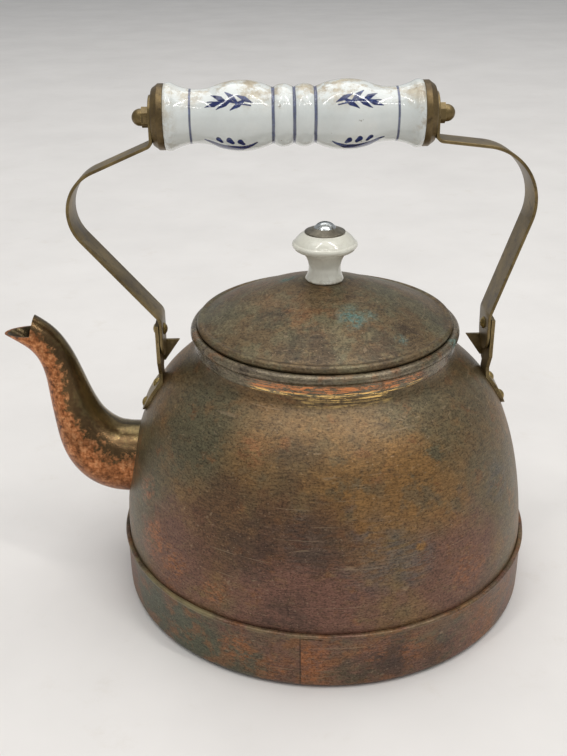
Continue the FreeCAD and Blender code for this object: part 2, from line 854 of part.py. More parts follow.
for side, hand in (("left", -1), ("right", 1)):
    parts_of_path = ("_tab_drop", "_bulge_out", "_bulge_drop", "_bulge_radius")
    nodes.append(bail_arm(side, hand, *(getattr(dim, side + part) for part in parts_of_path)))

# Grip, end caps, rod and cap nuts on the grip's axis
axis_y = -dim.grip_height * sine(dim.bail_lean)
axis_z = dim.pivot_height + dim.grip_height * cosine(dim.bail_lean)


def on_grip_axis(body):
    stand(body, (dim.bail_offset, axis_y, axis_z), (1, 0, 0), dim.bail_lean)
    return body


def hexagon(flats):
    half = flats / 2
    corner = half / math.cos(math.radians(full_turn / 12))
    return [
        (half, corner / 2),
        (zero, corner),
        (-half, corner / 2),
        (-half, -corner / 2),
        (zero, -corner),
        (half, -corner / 2),
    ]


grip_row = []
for share, radius, arc_share, turn in grip_shares:
    across = share * dim.grip_half if share else zero
    bend = (arc_share * dim.grip_half, turn) if arc_share else ()
    grip_row.append((across, getattr(dim, radius)) + bend)
back_row = reversed_row(mirrored(grip_row))[:-1]
handle_grip = revolved(
    "handle_grip",
    [(-dim.grip_half, dim.grip_bore)] + back_row + grip_row + [(dim.grip_half, dim.grip_bore)],
    "H_Axis",
)
nodes.append(on_grip_axis(handle_grip))

cap_end = dim.grip_half + dim.cap_length
nut_start = cap_end + dim.strap_sheet
nut_shoulder = nut_start + dim.nut_hex
nut_end = nut_start + dim.nut_length
rod_end = nut_end - dim.nut_roof
for side, hand in (("left", -1), ("right", 1)):
    cap_mid = dim.grip_half + dim.cap_length / 2
    cap = [
        (dim.grip_half, dim.rod_radius + dim.rod_gap),
        (cap_end, dim.rod_radius + dim.rod_gap),
        (cap_end, dim.cap_face),
        (cap_end - dim.cap_step, dim.cap_face + dim.cap_step),
        (cap_mid + dim.cap_step, dim.cap_radius - dim.cap_step),
        (cap_mid, dim.cap_radius),
        (dim.grip_half, dim.cap_radius),
    ]
    nodes.append(on_grip_axis(revolved("end_cap_" + side, handed(cap, hand), "H_Axis")))

    nut = new_body("cap_nut_" + side)
    hex_sketch = new_sketch(nut, "cap_nut_" + side + "_hex", "YZ_Plane", hand * nut_start)
    outline(hex_sketch, hexagon(dim.nut_flats))
    padded(nut, hex_sketch, dim.nut_hex, back=hand < 0)
    dome_length = dim.nut_length - dim.nut_hex
    dome_radius = (dim.nut_dome * dim.nut_dome + dome_length * dome_length) / (2 * dome_length)
    dome = [
        (nut_shoulder, zero),
        (nut_end, zero, dome_radius, 1),
        (nut_shoulder, dim.nut_dome),
    ]
    revolved("cap_nut_" + side + "_dome", handed(dome, hand), "H_Axis", nut)
    bore_sketch = new_sketch(nut, "cap_nut_" + side + "_bore", "YZ_Plane", hand * nut_start)
    circle(bore_sketch, zero, zero, dim.rod_radius + dim.running_gap)
    pocketed(nut, bore_sketch, dim.nut_length - dim.nut_roof, back=hand > 0)
    nodes.append(on_grip_axis(nut))

handle_rod = doc.addObject("Part::Cylinder", "handle_rod")
handle_rod.Label = "handle_rod"
bind(handle_rod, "Radius", dim.rod_radius)
bind(handle_rod, "Height", 2 * rod_end)
rod_turn = Size(right_angle, str(right_angle))
stand(handle_rod, (dim.bail_offset - rod_end, axis_y, axis_z), (0, 1, 0), rod_turn)
nodes.append(handle_rod)

# Lid, resting by its wired edge on the rim bead
wire_out = dim.lid_radius - dim.lid_wire
rest = dim.bead_radius + dim.lid_wire + dim.lid_gap
lid_level = dim.rim_height + leg(rest, dim.rim_radius - wire_out)
screw_hole = dim.screw_radius + dim.screw_gap


def on_wire(angle):
    return wire_out + dim.lid_wire * cosine(angle), dim.lid_wire * sine(angle)


lid_cover = revolved(
    "lid_cover",
    [
        (screw_hole, dim.lid_rise),
        (dim.lid_seat, dim.lid_rise, dim.lid_crown, -1),
        (*on_wire(dim.lid_hem_angle), dim.lid_wire, -1),
        (dim.lid_radius, zero, dim.lid_wire, -1),
        (wire_out, -dim.lid_wire, dim.lid_wire, -1),
        (*on_wire(dim.lid_fold_angle), dim.lid_crown - dim.lid_sheet, 1),
        (dim.lid_seat, dim.lid_rise - dim.lid_sheet),
        (screw_hole, dim.lid_rise - dim.lid_sheet),
    ],
)
stand(lid_cover, (zero, zero, lid_level))

skirt_outside = neck_inside - dim.skirt_gap
skirt_top = -(dim.lid_wire + dim.solder_gap)
lid_skirt = revolved(
    "lid_skirt",
    [
        (skirt_outside, skirt_top),
        (skirt_outside, skirt_top - dim.skirt_depth),
        (skirt_outside - dim.lid_sheet, skirt_top - dim.skirt_depth),
        (skirt_outside - dim.lid_sheet, skirt_top),
    ],
)
stand(lid_skirt, (zero, zero, lid_level))

knob_side = []
for out_share, up_share, arc_share, turn in knob_shares:
    up = up_share * dim.knob_height if up_share else zero
    bend = (arc_share * dim.knob_height, turn) if arc_share else ()
    knob_side.append((out_share * dim.knob_radius, up) + bend)
lid_knob = revolved("lid_knob", [(screw_hole, zero)] + knob_side + [(screw_hole, dim.knob_height)])
knob_seat = lid_level + dim.lid_rise
stand(lid_knob, (zero, zero, knob_seat))

knob_washer = revolved(
    "knob_washer",
    [
        (screw_hole, zero),
        (dim.washer_radius, zero),
        (dim.washer_radius, dim.washer_edge),
        (dim.screw_head, dim.washer_rise),
        (screw_hole, dim.washer_rise),
    ],
)
washer_seat = knob_seat + dim.knob_height
stand(knob_washer, (zero, zero, washer_seat))

shank = dim.washer_rise + dim.knob_height + dim.lid_sheet + dim.nut_height
head_round = (dim.screw_head * dim.screw_head + dim.screw_dome * dim.screw_dome) / (2 * dim.screw_dome)
knob_screw = revolved(
    "knob_screw",
    [
        (zero, -shank),
        (dim.screw_radius, -shank),
        (dim.screw_radius, zero),
        (dim.screw_head, zero, head_round, 1),
        (zero, dim.screw_dome),
    ],
)
slot_sketch = new_sketch(knob_screw, "knob_screw_slot", "XY_Plane", dim.screw_dome + dim.overrun)
slot_half = dim.slot_width / 2
slot_reach = dim.screw_head + dim.overrun
slot = [
    (-slot_reach, -slot_half),
    (slot_reach, -slot_half),
    (slot_reach, slot_half),
    (-slot_reach, slot_half),
]
outline(slot_sketch, slot)
pocketed(knob_screw, slot_sketch, dim.slot_depth + dim.overrun)
stand(knob_screw, (zero, zero, washer_seat + dim.washer_rise))

knob_nut = new_body("knob_nut")
nut_sketch = new_sketch(knob_nut, "knob_nut_hex", "XY_Plane", -dim.nut_height)
outline(nut_sketch, hexagon(dim.screw_nut_flats))
circle(nut_sketch, zero, zero, dim.screw_radius + dim.running_gap)
padded(knob_nut, nut_sketch, dim.nut_height)
stand(knob_nut, (zero, zero, knob_seat - dim.lid_sheet))
nodes += [lid_cover, lid_skirt, lid_knob, knob_washer, knob_screw, knob_nut]

doc.recompute()
for item in doc.Objects:
    if "Invalid" in item.State or "Error" in item.State:
        raise RuntimeError(item.Name + " did not build")
os.makedirs("parts", exist_ok=True)
for node in nodes:
    shape = node.Shape
    if shape.isNull() or not shape.isValid() or not shape.Solids:
        raise RuntimeError(node.Label + " is not a sound solid")
    shape.exportStep("parts/" + node.Label + ".step")
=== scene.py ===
import math

import bmesh
import bpy
import numpy as np
from mathutils import Matrix, Vector


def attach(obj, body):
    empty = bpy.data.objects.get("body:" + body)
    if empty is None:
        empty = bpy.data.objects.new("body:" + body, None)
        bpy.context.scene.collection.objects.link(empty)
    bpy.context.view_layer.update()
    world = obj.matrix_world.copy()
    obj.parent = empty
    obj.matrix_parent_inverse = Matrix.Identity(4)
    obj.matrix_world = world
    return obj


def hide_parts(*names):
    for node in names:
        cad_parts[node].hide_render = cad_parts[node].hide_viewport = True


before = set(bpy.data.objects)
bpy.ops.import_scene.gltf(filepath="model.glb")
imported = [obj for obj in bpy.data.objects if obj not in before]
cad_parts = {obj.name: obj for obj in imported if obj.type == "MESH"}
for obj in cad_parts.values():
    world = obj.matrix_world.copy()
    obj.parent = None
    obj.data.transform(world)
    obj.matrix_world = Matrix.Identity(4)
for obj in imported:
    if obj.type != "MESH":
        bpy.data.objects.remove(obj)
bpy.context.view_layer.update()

MM = 0.001
TURN = 2 * math.pi
# Angles in radians above which an edge is shaded sharp
SHARP_METAL, SHARP_GLAZE = 0.7, 1.1


def add_object(name, data):
    """An object linked to the scene."""
    made = bpy.data.objects.new(name, data)
    bpy.context.scene.collection.objects.link(made)
    return made


# Outlines, in millimetres
STRAIGHT = -0.9  # cosine between the two sides of a point that counts as no corner
LONG_RUN = 3  # straight runs have steps this many times longer than arcs


def arc(start, finish, radius, turn, step):
    """Points of the short arc between two points; turn is 1 when it bends left, -1 when it bends right."""
    start, finish = np.array(start), np.array(finish)
    chord = finish - start
    length = np.hypot(*chord)
    left = np.array([-chord[1], chord[0]]) / length
    centre = (start + finish) / 2 + left * turn * math.sqrt(radius**2 - length**2 / 4)
    first = math.atan2(*(start - centre)[::-1])
    sweep = turn * 2 * math.asin(min(1, length / (2 * radius)))
    count = max(3, math.ceil(abs(sweep) * radius / step))
    angles = first + sweep * np.arange(count) / count
    return centre + radius * np.stack([np.cos(angles), np.sin(angles)], -1)


def trace(corners, step, soft=0.25):
    """Points round a closed row of corners. A corner with a radius and a turn starts an arc, and a
    sharp corner is softened."""
    runs = []
    for place, corner in enumerate(corners):
        start, finish = corner[:2], corners[(place + 1) % len(corners)][:2]
        if len(corner) > 2:
            runs.append(arc(start, finish, corner[2], corner[3], step))
        else:
            count = max(1, math.ceil(math.dist(start, finish) / (LONG_RUN * step)))
            runs.append(np.linspace(start, finish, count, endpoint=False))
    points = np.concatenate(runs)
    before, after = np.roll(points, 1, 0) - points, np.roll(points, -1, 0) - points
    row = []
    for point, back, ahead in zip(points, before, after):
        short, long = np.hypot(*back), np.hypot(*ahead)
        if np.dot(back, ahead) / (short * long) > STRAIGHT:
            near, far = back * min(soft, short / 3) / short, ahead * min(soft, long / 3) / long
            row += [point + near, point + (near + far) / 4, point + far]
        else:
            row.append(point)
    return np.array(row)


def lathe(row, count):
    """A grid of points round the Z axis."""
    angles = TURN * np.arange(count) / count
    out, up = row[:, :1], np.repeat(row[:, 1:], count, 1)
    return np.stack([out * np.cos(angles), out * np.sin(angles), up], -1)


def piece(name, points, body, node, sharp=SHARP_METAL):
    """A skin of quads over a closed grid of points in millimetres that stands for a CAD node."""
    rows, columns = points.shape[:2]
    index = np.arange(rows * columns).reshape(rows, columns)
    under = np.roll(index, -1, 0)
    quads = np.stack([index, np.roll(index, -1, 1), np.roll(under, -1, 1), under], -1).reshape(-1, 4)
    mesh = bpy.data.meshes.new(name)
    mesh.from_pydata((points.reshape(-1, 3) * MM).tolist(), [], quads.tolist())
    shape = bmesh.new()
    shape.from_mesh(mesh)
    bmesh.ops.recalc_face_normals(shape, faces=shape.faces)
    shape.to_mesh(mesh)
    shape.free()
    mesh.shade_smooth()
    mesh.set_sharp_from_angle(angle=sharp)
    made = add_object(name, mesh)
    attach(made, body)
    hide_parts(node)
    return made


def window(value, low, high, edge):
    """1 between two limits, easing to 0 over an edge inside them."""
    rise = np.clip((value - low) / edge, 0, 1)
    fall = np.clip((high - value) / edge, 0, 1)
    share = np.minimum(rise, fall)
    return share * share * (3 - 2 * share)


def angle_of(points):
    """Angles of points round the Z axis."""
    return np.arctan2(points[..., 1], points[..., 0])


def radius_of(points):
    """Distances of points from the Z axis."""
    return np.hypot(points[..., 0], points[..., 1])


def push_out(points, amount):
    """Moves points of a lathed grid away from the Z axis."""
    out = radius_of(points)
    points[..., :2] *= ((out + amount) / np.maximum(out, 1e-6))[..., None]


# Dome: a straight foot, the arcs of flank, shoulder and sweep with their centres, and a straight neck
FOOT_RADIUS, FOOT_LEVEL = 85.9, 17.7
FLANK = np.array([-58.4, 24.8])
SHOULDER = np.array([30.795, 60.837])
SWEEP = np.array([58.6, 107.245])
FLANK_RADIUS, SHOULDER_RADIUS, SWEEP_RADIUS = 144.3, 48.1, 6.0
SHOULDER_ANGLE, SHOULDER_LEVEL = 22, 78.86
NECK_RADIUS, NECK_TOP = 52.6, 112.59
DOME_SHEET = 1.0
DENT_RADIUS = 80  # turns an angle round the flank into a length


def on_circle(centre, radius, degrees):
    """A point on a circle."""
    angle = math.radians(degrees)
    return (centre[0] + radius * math.cos(angle), centre[1] + radius * math.sin(angle))


def dome_side(lift):
    """Corners of the dome's outline from foot to neck, lifted off its outside."""
    meet = SHOULDER + (SWEEP - SHOULDER) * (SHOULDER_RADIUS + lift) / np.hypot(*(SWEEP - SHOULDER))
    return [
        (FOOT_RADIUS + lift, FOOT_LEVEL),
        (FOOT_RADIUS + lift, FLANK[1], FLANK_RADIUS + lift, 1),
        (*on_circle(SHOULDER, SHOULDER_RADIUS + lift, SHOULDER_ANGLE), SHOULDER_RADIUS + lift, 1),
        (*meet, SWEEP_RADIUS - lift, -1),
        (NECK_RADIUS + lift, SWEEP[1]),
        (NECK_RADIUS + lift, NECK_TOP),
    ]


def turned_back(corners):
    """The same corners in the other order, with arcs that bend the other way."""
    row = []
    for place in range(len(corners) - 1, -1, -1):
        before = corners[place - 1] if place else ()
        row.append(corners[place][:2] + ((before[2], -before[3]) if len(before) > 2 else ()))
    return row


def dome_radius(height):
    """Radius of the dome's outside at a height."""
    flank = FLANK[0] + np.sqrt(np.maximum(0, FLANK_RADIUS**2 - (height - FLANK[1]) ** 2))
    shoulder = SHOULDER[0] + np.sqrt(np.maximum(0, SHOULDER_RADIUS**2 - (height - SHOULDER[1]) ** 2))
    return np.where(height < FLANK[1], FOOT_RADIUS, np.where(height < SHOULDER_LEVEL, flank, shoulder))


dome_row = trace(dome_side(0) + turned_back(dome_side(-DOME_SHEET)), step=1.6)
dome_grid = lathe(dome_row, count=240)
turn = angle_of(dome_grid)
level = dome_grid[..., 2]
uneven = 0.22 * np.cos(2 * turn + 0.6) + 0.10 * np.cos(5 * turn + 1 + level / 28)
uneven += 0.07 * np.cos(9 * turn + 2 - level / 13) + 0.05 * np.cos(14 * turn + level / 9)
for dent_turn, dent_level, depth, width in (
    (-2.2, 46, 0.55, 15), (-1.05, 52, 0.5, 18), (-1.62, 66, 0.3, 12), (-0.35, 38, 0.5, 16),
    (0.7, 58, 0.6, 17), (1.9, 44, 0.5, 15), (2.6, 70, 0.4, 12),
):
    aside = (turn - dent_turn + math.pi) % TURN - math.pi
    uneven -= depth * np.exp(-((aside * DENT_RADIUS) ** 2 + (level - dent_level) ** 2) / (2 * width**2))
push_out(dome_grid, uneven * window(level, 24, 104, 14))
dome = piece("dome", dome_grid, "kettle", "body_dome")

# The spout's hole through the dome
HOLE_RADIUS, HOLE_LEVEL, HOLE_OUT, HOLE_IN = 14.3, 55.1, -100.0, -60.0
MERGE_GAP = 0.02 * MM
cutter_mesh = bpy.data.meshes.new("hole")
shape = bmesh.new()
lay = Matrix.Translation(((HOLE_OUT + HOLE_IN) / 2 * MM, 0, HOLE_LEVEL * MM))
lay = lay @ Matrix.Rotation(math.pi / 2, 4, "Y")
bmesh.ops.create_cone(
    shape, cap_ends=True, segments=96, radius1=HOLE_RADIUS * MM, radius2=HOLE_RADIUS * MM,
    depth=(HOLE_IN - HOLE_OUT) * MM, matrix=lay,
)
shape.to_mesh(cutter_mesh)
shape.free()
cutter = add_object("hole", cutter_mesh)
cut = dome.modifiers.new("hole", "BOOLEAN")
cut.operation = "DIFFERENCE"
cut.solver = "EXACT"
cut.object = cutter
bpy.context.view_layer.update()
cut_dome = dome.evaluated_get(bpy.context.evaluated_depsgraph_get())
holed = bpy.data.meshes.new_from_object(cut_dome)
shape = bmesh.new()
shape.from_mesh(holed)
bmesh.ops.remove_doubles(shape, verts=shape.verts, dist=MERGE_GAP)
bmesh.ops.triangulate(shape, faces=[face for face in shape.faces if len(face.verts) > 4])
bmesh.ops.dissolve_degenerate(shape, edges=shape.edges, dist=MERGE_GAP)
shape.to_mesh(holed)
shape.free()
dome.modifiers.clear()
dome.data = holed
dome.data.set_sharp_from_angle(angle=SHARP_METAL)
bpy.data.objects.remove(cutter)

# Base band: a hem that wanders a little, and the lapped seam at the front
BAND_OUTSIDE, LAP_START, LAP_END, LAP_RISE = 86.6, -1.727, -1.628, 0.5
band_row = trace(
    [
        (79.0, 0), (84.0, 0, 3.0, 1), (87.0, 3.0), (87.0, 24.1, 0.8, 1), (87.8, 24.9, 0.8, 1),
        (87.0, 25.7), (86.0, 25.7), (86.0, 3.0, 2.0, -1), (84.0, 1.0), (79.0, 1.0),
    ],
    step=0.5,
)
band_grid = lathe(band_row, count=480)
turn = angle_of(band_grid)
level = band_grid[..., 2].copy()
outer = radius_of(band_grid) > BAND_OUTSIDE
lap = window(turn, LAP_START, LAP_END, 0.004) * outer * (level > 3) * (level < 24.2)
ripple = 0.5 * np.cos(3 * turn + 0.4) + 0.35 * np.cos(7 * turn + 2.1) + 0.3 * np.cos(17 * turn)
dents = 0.3 * np.exp(-((turn + 1.1) ** 2) / 0.01) + 0.35 * np.exp(-((turn + 2.3) ** 2) / 0.02)
bulge = 0.12 * ripple - dents * window(level, 4, 22, 8)
push_out(band_grid, LAP_RISE * lap + window(level, 2, 30, 6) * bulge)
band_grid[..., 2] += window(level, 20, 32, 5) * (0.28 * ripple + 0.08 * np.cos(41 * turn))
band = piece("band", band_grid, "kettle", "base_band")

# Rim ring
rim_row = trace(
    [
        (52.65, 107.8), (53.45, 107.8), (53.45, 112.651, 2.0, 1), (55.0, 114.6, 2.0, 1),
        (53.0, 116.6, 2.0, 1), (51.0, 114.6, 2.0, 1), (52.65, 112.631),
    ],
    step=0.35,
)
rim_grid = lathe(rim_row, count=320)
turn = angle_of(rim_grid)
bead = window(rim_grid[..., 2], 111, 119, 2)
push_out(rim_grid, bead * (0.10 * np.cos(3 * turn + 1) + 0.05 * np.cos(11 * turn)))
rim = piece("rim", rim_grid, "kettle", "rim_ring")

# Lid cover
LID_LEVEL, WIRE_OUT, WIRE = 117.746, 50.45, 1.75
LID_TOP, LID_UNDER, LID_FLAT, SCREW_HOLE = 16.8, 15.9, 8.5, 2.65
lid_row = trace(
    [
        (SCREW_HOLE, LID_TOP), (LID_FLAT, LID_TOP, 180, -1),
        (*on_circle((WIRE_OUT, 0), WIRE, 125), WIRE, -1), (WIRE_OUT + WIRE, 0, WIRE, -1),
        (WIRE_OUT, -WIRE, WIRE, -1),
        (*on_circle((WIRE_OUT, 0), WIRE, 165), 179.1, 1), (LID_FLAT, LID_UNDER), (SCREW_HOLE, LID_UNDER),
    ],
    step=0.8,
)
lid_grid = lathe(lid_row, count=288)
turn = angle_of(lid_grid)
out = radius_of(lid_grid)
sag = 0.20 * np.cos(2 * turn + 0.9) + 0.14 * np.cos(3 * turn + 2) + 0.08 * np.cos(7 * turn + out / 6)
for dent_turn, dent_out, depth, width in (
    (-1.3, 33, 0.5, 8), (-2.5, 30, 0.45, 9), (0.9, 34, 0.5, 9), (2.4, 26, 0.4, 8),
):
    across = out * np.cos(turn) - dent_out * math.cos(dent_turn)
    deep = out * np.sin(turn) - dent_out * math.sin(dent_turn)
    aside = np.hypot(across, deep)
    sag -= depth * np.exp(-(aside**2) / (2 * width**2))
lid_grid[..., 2] += sag * window(out, 9, 47, 9) + LID_LEVEL
lid = piece("lid", lid_grid, "lid", "lid_cover")

# Knob
KNOB_HEIGHT, KNOB_RADIUS, KNOB_SEAT = 19.8, 13.05, 134.546
knob_side = [(SCREW_HOLE, 0)]
for out_share, up_share, arc_share, bend in (
    (0.53, 0, 0.045, 1), (0.594, 0.045, 0.445, -1), (0.76, 0.635, 0.16, 1),
    (1.0, 0.745, 0.06, 1), (0.94, 0.81, 0.50, 1), (0.63, 1.0, None, 0),
):
    way = (arc_share * KNOB_HEIGHT, bend) if arc_share else ()
    knob_side.append((out_share * KNOB_RADIUS, up_share * KNOB_HEIGHT) + way)
knob_row = trace(knob_side + [(SCREW_HOLE, KNOB_HEIGHT)], step=0.3, soft=0.4)
knob_grid = lathe(knob_row, count=160)
turn = angle_of(knob_grid)
push_out(knob_grid, 0.06 * np.cos(2 * turn + 1) * window(knob_grid[..., 2], -1, 21, 3))
foot = np.clip(1 - knob_grid[..., 2] / 2.5, 0, 1) * (radius_of(knob_grid) > 5)
push_out(knob_grid, -0.12 * foot * (1 + np.cos(5 * turn) + 0.6 * np.cos(9 * turn + 1)))
knob_grid[..., 2] += KNOB_SEAT
knob = piece("knob", knob_grid, "lid", "lid_knob", SHARP_GLAZE)

# Grip, turned about its own axis and laid along X
GRIP_HALF, GRIP_X, GRIP_Y, GRIP_Z = 48.8, -11.9, 4.438, 199.184
ROD_HOLE = 3.0
half_row = []
for share, radius, arc_share, bend in (
    (0, 10.3, 0.130, -1), (0.16, 10.3, 0.550, -1), (0.60, 11.4, 0.400, 1),
    (0.93, 12.2, 0.060, -1), (1.0, 12.1, None, 0),
):
    way = (arc_share * GRIP_HALF, bend) if arc_share else ()
    half_row.append((share * GRIP_HALF, radius) + way)
mirrored = []
for corner in half_row:
    way = (corner[2], -corner[3]) if len(corner) > 2 else ()
    mirrored.append((-corner[0], corner[1]) + way)
grip_row = trace(
    [(-GRIP_HALF, ROD_HOLE)] + turned_back(mirrored)[:-1] + half_row + [(GRIP_HALF, ROD_HOLE)],
    step=0.5, soft=0.35,
)
turned = lathe(grip_row[:, ::-1], count=192)
grip_grid = np.stack([turned[..., 2] + GRIP_X, turned[..., 0] + GRIP_Y, turned[..., 1] + GRIP_Z], -1)
grip = piece("grip", grip_grid, "handle", "handle_grip", SHARP_GLAZE)

# Spout: rings along the gooseneck, each line of points cut where it leaves the dome and at the beak.
# First the steps between two stations, the rings and lines of the skin, the wall's thickness, how far
# out the root may lie and how deep it is sunk into the dome
STEPS, RINGS, LINES, SPOUT_WALL, ROOT_LIMIT, SUNK = 60, 150, 160, 1.0, 95, 0.1
# The beak's opening lies between a steep cut behind and a nearly level one below
BACK_OUT, BACK_TOP, BACK_FALL, BACK_LEAN = 118.0, 123.0, 8.8, 1.9
LIP_LEVEL, LIP_OUT, LIP_REACH, LIP_DROP = 114.2, 119.9, 12.4, 0.3
# Each station is the middle's distance from the axis, its level, its slope in degrees and the radius
stations = np.array(
    [
        (66.0, 55.1, 0.0, 15.2), (82.0, 55.1, 0.0, 15.35), (91.4, 57.0, 27.4, 15.5),
        (97.5, 62.0, 50.1, 14.4), (101.6, 68.5, 64.1, 12.45), (104.5, 76.3, 73.4, 10.15),
        (107.5, 89.1, 79.1, 8.25), (110.2, 100.6, 71.5, 6.95), (115.1, 110.1, 52.6, 6.7),
        (123.8, 116.9, 34.0, 6.55), (129.2, 120.5, 34.0, 6.5),
    ]
)
path = []
for near, far in zip(stations, stations[1:]):
    reach = math.dist(near[:2], far[:2])
    leave, arrive = (np.array(on_circle((0, 0), reach, angle)) for angle in (near[2], far[2]))
    share = np.linspace(0, 1, STEPS, endpoint=False)[:, None]
    ease = share * share * (3 - 2 * share)
    middle = near[:2] * (1 - ease) + far[:2] * ease
    middle = middle + leave * share * (1 - share) ** 2 - arrive * share**2 * (1 - share)
    path.append(np.hstack([middle, near[3] + (far[3] - near[3]) * share]))
path = np.concatenate(path)
for column, spread in ((0, 24), (1, 24), (2, 40)):
    padded = np.pad(path[:, column], spread, mode="reflect", reflect_type="odd")
    path[:, column] = np.convolve(padded, np.ones(2 * spread + 1) / (2 * spread + 1), mode="valid")
slope = np.arctan2(np.gradient(path[:, 1]), np.gradient(path[:, 0]))
around = TURN * np.arange(LINES) / LINES


def spout_skin(trim):
    """Points of the spout's skin from the dome to the beak, one column for each line along it. The
    trim is taken off the radius."""
    radius = (path[:, 2] - trim)[:, None]
    out = path[:, :1] + radius * np.cos(around) * np.sin(slope)[:, None]
    up = path[:, 1:2] - radius * np.cos(around) * np.cos(slope)[:, None]
    aside = radius * np.sin(around) + 0 * out
    back_line = BACK_OUT + np.clip((BACK_TOP - up) / BACK_FALL, 0, 1) * BACK_LEAN
    lip_line = LIP_LEVEL - np.clip((out - LIP_OUT) / LIP_REACH, 0, 1) * LIP_DROP
    beyond = np.minimum(out - back_line, up - lip_line)
    clear = np.hypot(out, aside) - dome_radius(up) + SUNK
    place = np.arange(len(path))
    columns = []
    for column in range(len(around)):
        inside = clear[:, column] < 0
        start = np.nonzero(inside & (path[:, 0] < ROOT_LIMIT))[0].max()
        start += clear[start, column] / (clear[start, column] - clear[start + 1, column])
        end = np.nonzero(beyond[:, column] > 0)[0].min() - 1
        end += beyond[end, column] / (beyond[end, column] - beyond[end + 1, column])
        at = start + (end - start) * np.linspace(0, 1, RINGS)
        line = [np.interp(at, place, values[:, column]) for values in (-out, aside, up)]
        columns.append(np.stack(line, -1))
    return np.stack(columns, 1)


spout_grid = np.concatenate([spout_skin(0.0), spout_skin(SPOUT_WALL)[::-1]])
spout = piece("spout_neck", spout_grid, "kettle", "spout")
# 1 along the belly, -1 along the top and inside
belly = np.tile(np.cos(around), (len(spout_grid), 1))
belly[len(spout_grid) // 2 :] = -1
belly_share = spout.data.attributes.new("belly", "FLOAT", "POINT")
belly_share.data.foreach_set("value", belly.ravel().astype(np.float32))


# Materials
def tint(red, green, blue):
    """A colour given as the screen shows it."""
    shares = [part / 255 for part in (red, green, blue)]
    return tuple(s / 12.92 if s < 0.04045 else ((s + 0.055) / 1.055) ** 2.4 for s in shares) + (1.0,)


